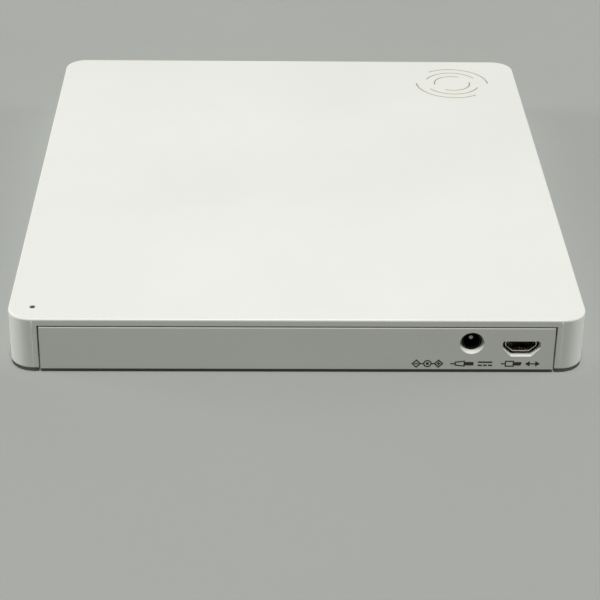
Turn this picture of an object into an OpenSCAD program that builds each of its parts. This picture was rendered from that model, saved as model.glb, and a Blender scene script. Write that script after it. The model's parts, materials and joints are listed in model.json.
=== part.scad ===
// External disc drive: a slim housing round a slim tray drive, with a port board behind it.
// Millimetres. The tray opens toward -Y, the ports face +Y, and the feet stand on z = 0.

/* [Housing] */
// overall width of the housing
body_w = 145; // [142.5:0.5:150]
// overall depth of the housing
body_d = 168; // [165:0.5:180]
// height of the housing above its feet
body_h = 14.3; // [14:0.1:16]
// radius of the four upright corners
corner_r = 6.3; // [5:0.1:7.5]
// radius along the top edges
edge_r = 0.55; // [0.3:0.05:0.8]
// radius along the bottom edges
under_r = 0.4; // [0.2:0.05:0.6]
// thickness of the side walls
wall_t = 1.8; // [1.5:0.1:2]
// thickness of the roof
roof_t = 1.5; // [1.2:0.1:1.6]
// thickness of the base plate
floor_t = 1.4; // [1.2:0.1:1.6]
// open seam between two housing pieces
seam = 0.3; // [0.15:0.05:0.35]
// depth of the two fine lines that the mould's slide leaves on the rear wall
slide_mark = 0.06; // [0.04:0.02:0.12]

/* [Feet] */
// diameter of one foot
foot_d = 11; // [9:0.5:13]
// height of a foot under the housing
foot_h = 1; // [0.6:0.1:1.6]
// depth of a foot's seat in the base
foot_sink = 0.5; // [0.3:0.1:0.6]
// distance of a foot's centre from the side of the housing
foot_side = 11.5; // [11:0.5:13]
// distance of a foot's centre from the front and rear of the housing
foot_end = 12; // [11.5:0.5:13]

/* [Port panel] */
// distance of the rear panel and of the tray mouth from the side of the housing
panel_side = 7.9; // [7.3:0.1:7.9]
// height of the rear panel and of the tray mouth
panel_h = 12.1; // [11.7:0.1:12.4]
// thickness of the rear panel
panel_t = 1.4; // [1.2:0.1:1.6]
// radius along the rear panel's top and side edges
panel_r = 0.4; // [0.2:0.05:0.5]
// distance of the power jack from the side of the housing
dc_side = 28.8; // [28:0.2:32]
// height of the power jack above the underside
dc_up = 7.6; // [7.5:0.1:7.9]
// diameter of the power jack's hole inside the panel
dc_hole_d = 5.2; // [4.8:0.1:5.6]
// widening of both port holes toward the outside, each side
port_flare = 0.5; // [0.3:0.05:0.6]
// distance of the data socket from the side of the housing
usb_side = 16.3; // [15.8:0.1:16.6]
// height of the data socket above the underside
usb_up = 6; // [5.9:0.05:6.2]
// width of the data socket's hole inside the panel
usb_hole_w = 8.6; // [8.4:0.1:8.8]
// height of the data socket's hole inside the panel
usb_hole_h = 3.5; // [3.4:0.1:3.8]

/* [Port board] */
// thickness of the port board
board_t = 1.2; // [1:0.1:1.6]
// bore of the power jack
jack_bore_d = 4.1; // [3.9:0.1:4.3]
// diameter of the power jack's centre pin
jack_pin_d = 1.65; // [1.5:0.05:1.8]
// width of the data socket's shell
usb_w = 7.5; // [7.3:0.1:7.6]
// height of the data socket's shell
usb_h = 2.6; // [2.4:0.1:2.7]
// diameter of the light hole in the roof
light_d = 1.5; // [1:0.1:1.6]

/* [Drive case] */
// how much narrower the drive case is than the rear panel, each side
drive_in = 0.6; // [0.6:0.05:1]
// room in the drive case behind the closed tray
drive_tail = 7; // [6.5:0.5:8]
// height of the drive case
drive_h = 9.5; // [9.4:0.1:9.8]
// gap under the drive case
drive_lift = 0.4; // [0.3:0.1:0.6]
// thickness of the sheet metal
sheet_t = 0.5; // [0.4:0.05:0.6]

/* [Tray] */
// how far the tray slides out
tray_travel = 125; // [118:1:126]
// diameter of the disc
disc_d = 120; // [119:0.5:120.5]
// gap round the disc in its recess
disc_gap = 0.5; // [0.3:0.1:0.8]
// height of the recess floor above the drive's underside
deck_lift = 4.5; // [4.4:0.05:4.6]
// thickness of the recess floor
deck_t = 1.2; // [1:0.1:1.3]
// height of the tray's rim above the recess floor
rim_h = 1.9; // [1.5:0.1:2.2]
// thickness of the front bezel
bezel_t = 3.5; // [3:0.1:4]
// width of the eject button
button_w = 11; // [9:0.5:13]
// height of the eject button
button_h = 3.4; // [3:0.1:3.6]
// travel of the eject button
button_travel = 0.5; // [0.3:0.1:0.5]

/* [Slide rails] */
// thickness of a slide rail
rail_t = 1.2; // [1:0.1:1.3]
// width of a slide rail
rail_w = 4.8; // [4.6:0.1:4.9]
// distance of a slide rail's end from the rear of the drive case
rail_end = 11; // [9:1:16]
// running gap on each side of a slide rail
rail_gap = 0.1; // [0.06:0.02:0.14]

/* [Spindle] */
// distance of the disc's centre behind the front of the housing
hub_back = 64.5; // [64:0.1:65.5]
// diameter of the turntable
table_d = 29; // [27:0.5:30]
// diameter of the hub that centres the disc
hub_d = 14.8; // [14.6:0.05:14.9]
// height of the hub above the disc's seat
hub_h = 2.3; // [2.1:0.1:2.5]
// width of one hub claw
claw_w = 3; // [2.6:0.1:3.2]
// travel of one hub claw
claw_travel = 0.4; // [0.3:0.05:0.5]

/* [Pickup] */
// direction in which the pickup leaves the hub, seen from above
sled_angle = -135; // [-136:0.5:-134]
// distance of the lens from the hub's axis when parked
lens_park = 24.5; // [24.5:0.1:25]
// gap between the traverse and the side blocks of the tray
trav_side = 0.45; // [0.4:0.05:2]
// diameter of one guide shaft
shaft_d = 1.8; // [1.5:0.1:1.9]
// half the distance between the guide shafts
shaft_v = 12.5; // [12:0.1:12.6]
// diameter of the lead screw
screw_d = 1.8; // [1.5:0.1:2]
// distance of the lead screw from the nearer guide shaft
screw_off = 5.5; // [5.4:0.1:5.7]
// diameter of the objective lens
lens_d = 4.2; // [3.6:0.1:4.6]
// up and down travel of the lens from rest
lens_travel = 0.4; // [0.2:0.05:0.4]

/* [Hidden] */
$fn = 96;
eps = 0.01;

// levels of the housing
z0 = foot_h;
z_floor = z0 + floor_t;
z_top = z0 + body_h;
z_roof = z_top - roof_t;
y_front = -body_d / 2;
y_rear = body_d / 2;
panel_w = body_w - 2 * panel_side;
mouth_w = panel_w + 2 * seam;
mouth_top = z0 + panel_h + seam;
inner_w = body_w - 2 * wall_t;
inner_d = body_d - 2 * wall_t;
base_fit = 0.15;
root_l = 2;
sill_h = 1.85;
slide_w = 0.16;

// feet, and the case screws over the rear two
foot_x = body_w / 2 - foot_side;
foot_y = body_d / 2 - foot_end;
foot_round = 0.4;
foot_fit = 0.05;
screw_core_r = 0.9;
screw_gap = 0.05;
head_r = 1.9;
head_h = 0.9;
socket_r = 0.8;
socket_h = 0.5;
head_z = z_floor + 0.4;
cover_boss_r = 2.7;
base_boss_r = 3.4;
base_boss_h = 2.1;
boss_gap = 0.1;
case_screw_l = 5.4;

// snap hooks in the side walls and stiffening ribs under the roof
hook_at = [-52, 0, 40];
hook_half = 3;
hook_reach = 0.55;
hook_low = 2.3;
hook_high = 3;
hook_gap = 0.3;
loop_half = 5;
loop_t = 1.1;
loop_h = 3.8;
rib_at = [8, 16];
rib_t = 0.9;
rib_h = 0.8;
rib_in = 9;

// ports
dc_x = -(body_w / 2 - dc_side);
dc_z = z0 + dc_up;
usb_x = -(body_w / 2 - usb_side);
usb_z = z0 + usb_up;
port_back = y_rear - panel_t;
hole_land = 0.2;
jack_gap = 0.1;
jack_face = port_back - jack_gap;
jack_l = 11;
jack_w = 9;
jack_bore_l = 8.6;
jack_pin_back = 1.5;
jack_tail_d = 1;
usb_l = 5.4;
usb_shell_t = 0.3;
usb_lip = 0.25;
usb_lip_l = 0.5;
usb_back_t = 0.4;
tongue_w = 5.2;
tongue_t = 0.55;
tongue_in = 1.2;
light_in = 6.1;
light_x = body_w / 2 - light_in;
light_y = body_d / 2 - light_in;
light_fit = 0.04;
light_sink = 0.15;
light_collar = 0.6;
light_collar_h = 0.8;
led_h = 0.7;

// tray in plan
hub_y = y_front + hub_back;
tray_front = y_front + bezel_t;
tray_rear = hub_y + disc_d / 2 - 0.5;
recess_r = disc_d / 2 + disc_gap;

// drive case
zd = z_floor + drive_lift;
z_pan = zd + sheet_t;
z_lid = zd + drive_h;
z_lid_under = z_lid - sheet_t;
drive_front = tray_front + 0.5;
drive_rear = tray_rear + drive_tail;
case_x = panel_w / 2 - drive_in;
flange_gap = 0.05;
flange_x = case_x + flange_gap + sheet_t;
flange_h = 4.2;
lid_screw_at = [drive_front + 8, drive_rear - 10];
lid_screw_z = z_lid - 2.6;
lid_screw_r = 0.7;
lid_head_r = 1.4;
lid_head_h = 0.4;
seat_end = 14;
seat_l = 12;
seat_out = 4;
seat_w = 8;
foam_w = 4.5;
foam_in = 1.5;
foam_front = 12;
foam_rear = 8;
dome_gap = 2.5;
dome_r = case_x - foam_in - foam_w - dome_gap;
dome_h = 0.4;
dome_t = 0.6;

// port board
pcb_top = usb_z - usb_h / 2;
pcb_bottom = pcb_top - board_t;
jack_h = 2 * (dc_z - pcb_top);
pcb_behind = 2;
pcb_ahead = 5;
pcb_side = 1.7;
pcb_corner = 3;
pcb_rear = port_back - pcb_behind;
pcb_front = drive_rear + pcb_ahead;
pcb_mid = (pcb_front + pcb_rear) / 2;
pcb_w = inner_w - 2 * pcb_side;
pcb_boss_gap = 0.8;
post_r = 2.4;
post_in = 3;
post_side = 38.5;
post_x = body_w / 2 - post_side;
post_y = pcb_front + post_in + post_r;
post_screw_l = 1.6;
rest_x = 10;
rest_w = 4;
rest_l = 3;

// sheet frame of the traverse
run_gap = 0.3;
frame_t = 0.6;
z_frame = z_pan + run_gap;
z_frame_top = z_frame + frame_t;

// tray levels
z_deck = zd + deck_lift;
z_deck_under = z_deck - deck_t;
z_rim = z_deck + rim_h;
tray_corner = 1.5;
guide_t = 3.2;
guide_in = case_x - sheet_t - guide_t;
guide_lip = 0.9;
rail_in = 1.7;
rail_x = guide_in + rail_in - rail_w;
rail_z = z_deck_under - 0.2;
rail_front = drive_front + 2;
rail_l = drive_rear - rail_end - rail_front;
rail_groove = 0.4;
rail_edge = 1.9;
rail_stop = 4;
tray_gap = 1.6;
tray_x = guide_in - tray_gap;
block_w = 2.4;
block_in = tray_x - block_w;
block_lip = 0.8;
ring_r = 42;
ring_w = 0.8;
ring_h = 0.25;
finger_x = 40;
finger_back = 52;
finger_r = 9;
corner_dip_x = 50;
corner_dip_r = 4;

// bezel and eject button
bezel_gap = 0.2;
bezel_z = z0 + sill_h + bezel_gap;
bezel_top = mouth_top - bezel_gap;
bezel_w = mouth_w - 2 * bezel_gap;
bezel_h = bezel_top - bezel_z;
bezel_corner = 0.8;
bezel_back_r = 0.2;
clip_at = [-46, 12];
clip_w = 9;
clip_l = 3.6;
clip_t = 1.2;
latch_side = 9.3;
latch_x = block_in - latch_side;
latch_y = tray_front + 14.5;
latch_z = z_frame + 0.6;
button_in = 3;
button_x = latch_x - button_in;
button_z = zd + 2.8;
button_gap = 0.2;
button_sink = 0.15;
button_back = 0.8;
stem_w = 3;
stem_gap = 0.1;
window_x = button_x - 11;
window_r = 0.9;
window_gap = 0.05;
pin_hole_x = button_x - 18;
pin_hole_r = 0.6;
switch_y = tray_front + 2.4;
switch_w = 4.4;
switch_l = 3;
plunger_l = 0.6;

// traverse levels
cover_t = 0.4;
z_cover = z_deck - cover_t;
shaft_z = z_frame_top + 1.05;
sled_z = z_frame + 0.2;
sled_top = z_cover - 0.2;

// traverse in plan: u runs outward along the lens path, v across it
screw_v = shaft_v + screw_off;
trav_hub_r = 18;
trav_edge = 3.5;
trav_near = shaft_v + trav_edge;
trav_far = screw_v + trav_edge;
near_cut = [3.5, 2];
far_cut = [5, 5.5];
trav_front = 3;
side_reach = block_in - trav_side - (trav_near - near_cut[1]) * abs(sin(sled_angle));
front_reach = hub_y - tray_front - trav_front - trav_far * abs(cos(sled_angle));
trav_end = min(side_reach / abs(cos(sled_angle)), front_reach / abs(sin(sled_angle)) + far_cut[0]);
tray_cut = 0.25;
shaft_in = 11.5;
shaft_out = trav_end - 0.7;
shaft_hold = 2;
hold_half = 1.5;
sled_back = 12;
sled_fore = 5;
sled_travel = shaft_out - shaft_hold - run_gap - sled_fore - lens_park;
sled_v = shaft_v + 1.8;
bore_gap = 0.05;
motor_u = 1.5;
motor_l = 15;
motor_r = 3;
screw_in = motor_u + motor_l;
screw_out = trav_end - 6.5;
pivot_r = 0.5;
cover_posts = [[5, -shaft_v - 1.7], [5, shaft_v + 0.1], [40, screw_v + 2.4]];
cover_post_r = 0.9;
ear_r = 3;
ear_at = [[-21.5, 0, 0, 6], [36, -trav_near - 3, 90, 4], [30, trav_far + 3.5, -90, 5]];
ear_z = z_frame_top;
ear_top = ear_z + frame_t;
ear_screw_r = 0.8;
ear_hole_r = 0.95;
ear_head_r = 2;
bush_t = 0.6;
bush_r = 2.4;

// spindle
z_motor = z_frame_top;
can_r = 10.5;
can_t = 0.5;
z_can = z_motor + 0.7;
z_table = z_deck + run_gap;
table_t = 0.7;
z_seat = z_table + table_t;
pad_t = 0.3;
pad_w = 3;
pad_edge = 0.3;
z_disc = z_seat + pad_t;
z_hub = z_disc + hub_h;
hub_straight = 1.3;
hub_taper = 1.8;
shaft_r = 0.75;
claw_z = z_disc + 0.5;
claw_h = 1.25;
claw_in = 4;
claw_gap = 0.1;
claw_proud = 0.35;
claw_room = 0.4;

// lens
holder_u = 3.6;
holder_v = 4.4;
holder_gap = 0.3;
holder_top = z_deck - lens_travel;
lens_sink = 0.4;
lens_rim = 0.4;
slot_room = 1.9;

// latch and its post
lever_t = 1.1;
lever_l = 14.2;
lever_r = 2.6;
hook_l = 1.8;
pivot_gap = 0.06;
latch_pin_r = 1;
post_at = [latch_x + 5, latch_y + 9.5];

// ribbon and the drive's board
flex_w = 18;
flex_t = 0.15;
flex_bend = tray_rear - 3;
flex_front = flex_bend - tray_travel / 2 - 2.5;
flex_top = z_deck_under;
flex_fixed = 22;
main_side = 1.3;
main_w = 21;
main_x = block_in - main_side - main_w;
main_front = flex_front + 3;
main_z = z_pan + 0.4;
main_t = 0.8;
main_top = main_z + main_t;
flex_x = main_x - 8 - flex_w;
plug_w = main_w - 1;
plug_top = pcb_top + 2;
spring_side = 14.7;
spring_far = -tray_x + spring_side;
spring_near = spring_far + 16;
spring_t = 0.3;
spring_h = 2;

// a rectangle with round corners, centred
module round_rect(w, d, r) {
    square([w - 2 * r, d], center = true);
    square([w, d - 2 * r], center = true);
    for (sx = [-1, 1]) {
        for (sy = [-1, 1]) {
            translate([sx * (w / 2 - r), sy * (d / 2 - r)]) circle(r);
        }
    }
}

// one half of a slab's section: the outer edge is round above and below
module edge_half(w, h, top_r, low_r) {
    intersection() {
        square([w, h]);
        union() {
            square([w - low_r, h - top_r]);
            square([w - top_r, h]);
            translate([0, low_r]) square([w, h - top_r - low_r]);
            translate([w - top_r, h - top_r]) circle(top_r);
            translate([w - low_r, low_r]) circle(low_r);
        }
    }
}

// a slab with round upright corners and round edges above and below
module soft_slab(w, d, h, r, top_r, low_r) {
    rotate([90, 0, 0]) translate([0, 0, -(d / 2 - r)]) linear_extrude(d - 2 * r) {
        edge_half(w / 2, h, top_r, low_r);
        mirror([1, 0]) edge_half(w / 2, h, top_r, low_r);
    }
    rotate([90, 0, 90]) translate([0, 0, -(w / 2 - r)]) linear_extrude(w - 2 * r) {
        edge_half(d / 2, h, top_r, low_r);
        mirror([1, 0]) edge_half(d / 2, h, top_r, low_r);
    }
    for (sx = [-1, 1]) {
        for (sy = [-1, 1]) {
            translate([sx * (w / 2 - r), sy * (d / 2 - r), 0])
                rotate_extrude() edge_half(r, h, top_r, low_r);
        }
    }
}

// a box between two corners
module box(a, b) {
    translate(a) cube([b[0] - a[0], b[1] - a[1], b[2] - a[2]]);
}

// the two places of a piece that is there left and right
module both_sides() {
    children();
    mirror([1, 0, 0]) children();
}

// the data socket's outline: flat on top, narrower below
module usb_outline(w, h, r) {
    hull() {
        for (s = [-1, 1]) {
            translate([s * (w / 2 - r), h / 2 - r]) circle(r, $fn = 24);
            translate([s * (w / 2 - r), -h * 0.04 + r]) circle(r, $fn = 24);
            translate([s * (w * 0.27 - r * 0.5), -h / 2 + r]) circle(r, $fn = 24);
        }
    }
}

// housing, the visible upper shell
module top_cover() {
    color([0.94, 0.94, 0.92]) {
        difference() {
            union() {
                difference() {
                    translate([0, 0, z0]) soft_slab(body_w, body_d, body_h, corner_r, edge_r, under_r);
                    translate([0, 0, z0 - 1])
                        linear_extrude(z_roof - z0 + 1) round_rect(inner_w, inner_d, corner_r - wall_t);
                }
                both_sides() translate([foot_x, foot_y, z_floor + base_boss_h + boss_gap])
                    cylinder(r = cover_boss_r, h = z_roof - z_floor - base_boss_h - boss_gap + eps);
                for (y = rib_at) {
                    translate([0, drive_rear + y, 0])
                        box([-inner_w / 2 + rib_in, 0, z_roof - rib_h],
                            [inner_w / 2 - rib_in, rib_t, z_roof + eps]);
                }
                both_sides() {
                    for (y = hook_at) {
                        box([inner_w / 2 - hook_reach, y - hook_half, z_floor + hook_low],
                            [inner_w / 2 + eps, y + hook_half, z_floor + hook_high]);
                    }
                }
            }
            box([-mouth_w / 2, y_rear - wall_t - 1, z0 - 1], [mouth_w / 2, y_rear + 1, mouth_top]);
            box([-mouth_w / 2, y_front - 1, z0 - 1], [mouth_w / 2, y_front + wall_t + 1, mouth_top]);
            both_sides() box([body_w / 2 - corner_r, y_rear - slide_mark, z0 - 1],
                [body_w / 2 - corner_r + slide_w, y_rear + 1, z_top - edge_r]);
            translate([light_x, light_y, z_roof - 1]) cylinder(d = light_d, h = roof_t + 2);
            both_sides() translate([foot_x, foot_y, z0])
                cylinder(r = screw_core_r + screw_gap, h = head_z + case_screw_l + 1);
        }
    }
}

// housing, the base plate with the port panel standing on its rear edge
module base_cover() {
    color([0.92, 0.92, 0.90]) {
        difference() {
            union() {
                translate([0, 0, z0]) linear_extrude(floor_t)
                    round_rect(inner_w - 2 * base_fit, inner_d - 2 * base_fit, corner_r - wall_t);
                box([-panel_w / 2, port_back, z0], [panel_w / 2, y_rear - panel_r, z0 + panel_h]);
                box([panel_r - panel_w / 2, port_back, z0],
                    [panel_w / 2 - panel_r, y_rear, z0 + panel_h - panel_r]);
                translate([panel_r - panel_w / 2, y_rear - panel_r, z0 + panel_h - panel_r])
                    rotate([0, 90, 0]) cylinder(r = panel_r, h = panel_w - 2 * panel_r);
                box([-panel_w / 2, inner_d / 2 - root_l, z0], [panel_w / 2, port_back + eps, z_floor]);
                box([-panel_w / 2, y_front, z0], [panel_w / 2, y_front + wall_t, z0 + sill_h]);
                box([-panel_w / 2, y_front + wall_t - eps, z0],
                    [panel_w / 2, y_front + wall_t + root_l, z_floor]);
                both_sides() {
                    translate([panel_w / 2 - panel_r, y_rear - panel_r, z0]) {
                        cylinder(r = panel_r, h = panel_h - panel_r);
                        translate([0, 0, panel_h - panel_r]) sphere(r = panel_r, $fn = 32);
                    }
                    translate([foot_x, foot_y, z0]) cylinder(r = base_boss_r, h = floor_t + base_boss_h);
                    box([post_x - post_r, post_y - post_r, z_floor - eps],
                        [post_x + post_r, post_y + post_r, pcb_bottom]);
                    box([rest_x, pcb_rear - 1 - rest_l, z_floor - eps],
                        [rest_x + rest_w, pcb_rear - 1, pcb_bottom]);
                    for (y = [drive_front + seat_end, drive_rear - seat_end - seat_l]) {
                        box([case_x - seat_out - seat_w, y, z_floor - eps],
                            [case_x - seat_out, y + seat_l, zd]);
                    }
                    for (y = [-30, 20]) {
                        box([flange_x + 0.2, y - 8, z_floor - eps], [flange_x + 1.2, y + 8, zd + 4]);
                    }
                    box([20, drive_rear + 0.15, z_floor - eps], [30, drive_rear + 1.25, zd + 1.4]);
                    for (y = hook_at) {
                        difference() {
                            box([inner_w / 2 - base_fit - loop_t, y - loop_half, z_floor - eps],
                                [inner_w / 2 - base_fit, y + loop_half, z_floor + loop_h]);
                            translate([inner_w / 2 - base_fit, y, z_floor])
                                box([-2 * loop_t, -hook_half - hook_gap, hook_low - hook_gap],
                                    [1, hook_half + hook_gap, hook_high + hook_gap]);
                        }
                    }
                }
            }
            for (sx = [-1, 1]) {
                for (sy = [-1, 1]) {
                    translate([sx * foot_x, sy * foot_y, z0 - 1])
                        cylinder(d = foot_d + 2 * foot_fit, h = foot_sink + 1);
                }
            }
            both_sides() {
                translate([foot_x, foot_y, z0]) cylinder(r = head_r + 0.2, h = head_z - z0);
                translate([foot_x, foot_y, z0])
                    cylinder(r = screw_core_r + 3 * screw_gap, h = floor_t + base_boss_h + 1);
                translate([post_x, post_y, pcb_bottom - post_screw_l - 0.1])
                    cylinder(r = screw_core_r + screw_gap, h = post_screw_l + 1);
            }
            translate([dc_x, y_rear + eps, dc_z]) rotate([90, 0, 0])
                cylinder(d1 = dc_hole_d + 2 * port_flare, d2 = dc_hole_d, h = panel_t - hole_land);
            translate([dc_x, y_rear, dc_z]) rotate([90, 0, 0]) cylinder(d = dc_hole_d, h = panel_t + 1);
            hull() {
                translate([usb_x, y_rear + eps, usb_z]) rotate([90, 0, 0]) linear_extrude(eps)
                    usb_outline(usb_hole_w + 2 * port_flare, usb_hole_h + 2 * port_flare, 0.7);
                translate([usb_x, port_back, usb_z]) rotate([90, 0, 0]) linear_extrude(1)
                    usb_outline(usb_hole_w, usb_hole_h, 0.5);
            }
        }
    }
}

// four rubber feet, the rear two over the case screws
module rubber_feet() {
    color([0.16, 0.16, 0.17]) {
        for (sx = [-1, 1]) {
            for (sy = [-1, 1]) {
                translate([sx * foot_x, sy * foot_y, 0]) rotate_extrude() {
                    square([foot_d / 2 - foot_round, foot_h + foot_sink]);
                    translate([0, foot_round]) square([foot_d / 2, foot_h + foot_sink - foot_round]);
                    translate([foot_d / 2 - foot_round, foot_round]) circle(foot_round);
                }
            }
        }
    }
}

// one small screw with its head at z = 0, pointing along +z or, with dir = -1, along -z
module small_screw(l, dir) {
    mirror([0, 0, dir > 0 ? 1 : 0]) difference() {
        cylinder(r = head_r, h = head_h);
        translate([0, 0, head_h - socket_h]) cylinder(r = socket_r, h = 1, $fn = 6);
    }
    mirror([0, 0, dir > 0 ? 0 : 1]) translate([0, 0, -socket_h / 2])
        cylinder(r = screw_core_r, h = l + socket_h / 2);
}

// two screws that hold the base to the upper shell
module case_screws() {
    color([0.55, 0.56, 0.58]) both_sides() translate([foot_x, foot_y, head_z]) small_screw(case_screw_l, 1);
}

// two foam strips that hold the drive down
module foam_pads() {
    color([0.22, 0.22, 0.23]) {
        both_sides() box([case_x - foam_in - foam_w, drive_front + foam_front, z_lid],
            [case_x - foam_in, drive_rear - foam_rear, z_roof]);
    }
}

// clear pipe from the status light to the roof
module light_pipe() {
    color([0.75, 0.78, 0.80]) {
        translate([light_x, light_y, pcb_top + led_h + run_gap / 3])
            cylinder(r = light_d / 2 - light_fit, h = z_top - light_sink - pcb_top - led_h - run_gap / 3);
        translate([light_x, light_y, z_roof - light_collar_h])
            cylinder(r = light_d / 2 + light_collar, h = light_collar_h);
    }
}

// status light on the port board
module status_led() {
    color([0.90, 0.88, 0.70]) {
        box([light_x - 0.8, light_y - 0.6, pcb_top], [light_x + 0.8, light_y + 0.6, pcb_top + led_h]);
    }
}

// printed circuit board behind the ports
module port_board() {
    color([0.06, 0.30, 0.20]) {
        difference() {
            translate([0, pcb_mid, pcb_bottom]) linear_extrude(board_t)
                round_rect(pcb_w, pcb_rear - pcb_front, pcb_corner);
            both_sides() {
                translate([foot_x, foot_y, pcb_bottom - 1])
                    cylinder(r = base_boss_r + pcb_boss_gap, h = board_t + 2);
                translate([post_x, post_y, pcb_bottom - 1])
                    cylinder(r = screw_core_r + 5 * screw_gap, h = board_t + 2);
            }
            box([usb_x - usb_w / 2 + 0.2, pcb_rear - 2.4, pcb_bottom - 1],
                [usb_x + usb_w / 2 - 0.2, pcb_rear + 1, pcb_top + 1]);
        }
    }
}

// a flat chip of w by d with its middle at x, y on a board whose top is at z
module chip(x, y, z, w, d, h) {
    translate([x - w / 2, y - d / 2, z]) cube([w, d, h]);
}

// chips, capacitors and a coil on the port board
module board_chips() {
    color([0.10, 0.10, 0.11]) {
        chip(dc_x + 34.7, pcb_mid, pcb_top, 14, 14, 1.1);
        chip(dc_x + 59.7, pcb_mid, pcb_top, 8, 8, 1);
        chip(dc_x + 17.5, pcb_mid - 3, pcb_top, 5, 5, 2.6);
        chip(dc_x + 23.5, pcb_mid - 0.5, pcb_top, 3, 3, 0.9);
        for (k = [0, 1]) {
            translate([post_x - 10 + 5 * k, pcb_mid - 1, pcb_top]) cylinder(d = 4.4, h = 5);
        }
        for (k = [0:3]) {
            chip(post_x - 7 + 4 * k, pcb_mid + 6, pcb_top, 2, 1.2, 0.7);
        }
    }
}

// two screws that hold the port board
module board_screws() {
    color([0.60, 0.61, 0.62]) both_sides() translate([post_x, post_y, pcb_top])
        small_screw(board_t + post_screw_l, -1);
}

// body of the power jack
module dc_jack() {
    color([0.07, 0.07, 0.08]) {
        difference() {
            box([dc_x - jack_w / 2, jack_face - jack_l, pcb_top],
                [dc_x + jack_w / 2, jack_face, pcb_top + jack_h]);
            translate([dc_x, jack_face + 1, dc_z]) rotate([90, 0, 0])
                cylinder(d = jack_bore_d, h = jack_bore_l + 1);
            translate([dc_x, jack_face, dc_z]) rotate([90, 0, 0]) cylinder(d = jack_tail_d, h = jack_l + 1);
        }
    }
}

// centre pin of the power jack
module dc_jack_pin() {
    color([0.80, 0.80, 0.78]) {
        translate([dc_x, jack_face - jack_pin_back, dc_z]) rotate([90, 0, 0])
            cylinder(d = jack_pin_d, h = jack_bore_l - jack_pin_back);
        translate([dc_x, jack_face - jack_bore_l + eps, dc_z]) rotate([90, 0, 0])
            cylinder(d = jack_tail_d, h = jack_l - jack_bore_l);
    }
}

// metal shell of the data socket
module usb_socket() {
    color([0.74, 0.74, 0.73]) {
        translate([usb_x, jack_face, usb_z]) rotate([90, 0, 0]) difference() {
            union() {
                linear_extrude(usb_l) usb_outline(usb_w, usb_h, 0.5);
                linear_extrude(usb_lip_l) usb_outline(usb_w + 2 * usb_lip, usb_h + 2 * usb_lip, 0.6);
            }
            translate([0, 0, -1]) linear_extrude(usb_l + 1 - usb_back_t)
                usb_outline(usb_w - 2 * usb_shell_t, usb_h - 2 * usb_shell_t, 0.3);
        }
    }
}

// contact tongue inside the data socket
module usb_tongue() {
    color([0.09, 0.09, 0.10]) {
        box([usb_x - tongue_w / 2, jack_face - usb_l + usb_back_t, usb_z + 0.1],
            [usb_x + tongue_w / 2, jack_face - tongue_in, usb_z + 0.1 + tongue_t]);
    }
}

// socket on the port board that takes the drive's plug
module bridge_connector() {
    color([0.12, 0.12, 0.13]) {
        box([main_x, drive_rear + 2, main_top], [main_x + plug_w, pcb_front, plug_top]);
        box([main_x, pcb_front - eps, pcb_top], [main_x + plug_w, pcb_front + 2.6, plug_top]);
    }
}

// lower case of the drive
module drive_chassis() {
    color([0.70, 0.71, 0.72]) {
        difference() {
            union() {
                box([-case_x, drive_front, zd], [case_x, drive_rear, z_pan]);
                both_sides() box([case_x - sheet_t, drive_front, zd],
                    [case_x, drive_rear, z_lid_under - 0.05]);
                box([-case_x, drive_rear - sheet_t, zd], [case_x, drive_rear, z_lid_under - 0.05]);
                for (x = [main_x + 2, main_x + main_w - 2]) {
                    for (y = [main_front + 4, drive_rear - 8]) {
                        translate([x, y, z_pan - eps]) cylinder(r = 1.6, h = main_z - z_pan + eps);
                    }
                }
            }
            box([main_x - run_gap, drive_rear - 2, main_z - 0.1],
                [main_x + plug_w + run_gap, drive_rear + 1, plug_top + 0.6]);
            for (x = [-50, -40, -30]) {
                translate([x, drive_rear - 14, zd - 1]) cylinder(r = 2.5, h = 2);
            }
            translate([-48, hub_y - 30, zd - 1]) cylinder(r = 4, h = 2);
            both_sides() {
                for (y = lid_screw_at) {
                    translate([case_x - 2, y, lid_screw_z]) rotate([0, 90, 0])
                        cylinder(r = lid_screw_r + screw_gap, h = 4);
                }
            }
        }
    }
}

// upper case of the drive
module drive_lid() {
    color([0.76, 0.77, 0.78]) {
        difference() {
            union() {
                box([-flange_x, drive_front, z_lid_under], [flange_x, drive_rear, z_lid]);
                both_sides() box([flange_x - sheet_t, drive_front, z_lid - flange_h],
                    [flange_x, drive_rear, z_lid]);
                translate([0, hub_y, z_lid - eps]) cylinder(r = dome_r, h = dome_h);
            }
            translate([0, hub_y, z_lid_under - 1]) cylinder(r = dome_r - dome_t, h = dome_h + 1);
            both_sides() {
                for (y = lid_screw_at) {
                    translate([case_x - 2, y, lid_screw_z]) rotate([0, 90, 0])
                        cylinder(r = lid_screw_r + screw_gap, h = 4);
                }
            }
        }
    }
}

// four screws that close the drive case
module lid_screws() {
    color([0.50, 0.51, 0.52]) {
        both_sides() {
            for (y = lid_screw_at) {
                translate([flange_x, y, lid_screw_z]) rotate([0, 90, 0])
                    cylinder(r = lid_head_r, h = lid_head_h);
                translate([flange_x - 1, y, lid_screw_z]) rotate([0, 90, 0])
                    cylinder(r = lid_screw_r, h = 1.1);
            }
        }
    }
}

// two fixed channels in which the slide rails run
module rail_guides() {
    color([0.13, 0.13, 0.14]) {
        both_sides() difference() {
            box([guide_in, drive_front + 1, rail_z - rail_t - guide_lip],
                [case_x - sheet_t, drive_rear - 5, rail_z + guide_lip]);
            box([guide_in - 1, drive_front, rail_z - rail_t - rail_gap],
                [rail_x + rail_w + rail_gap, drive_rear, rail_z + rail_gap]);
        }
    }
}

// circuit board of the drive
module main_board() {
    color([0.05, 0.26, 0.18]) {
        box([main_x, main_front, main_z], [main_x + main_w, drive_rear - sheet_t - run_gap, main_top]);
    }
}

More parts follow.
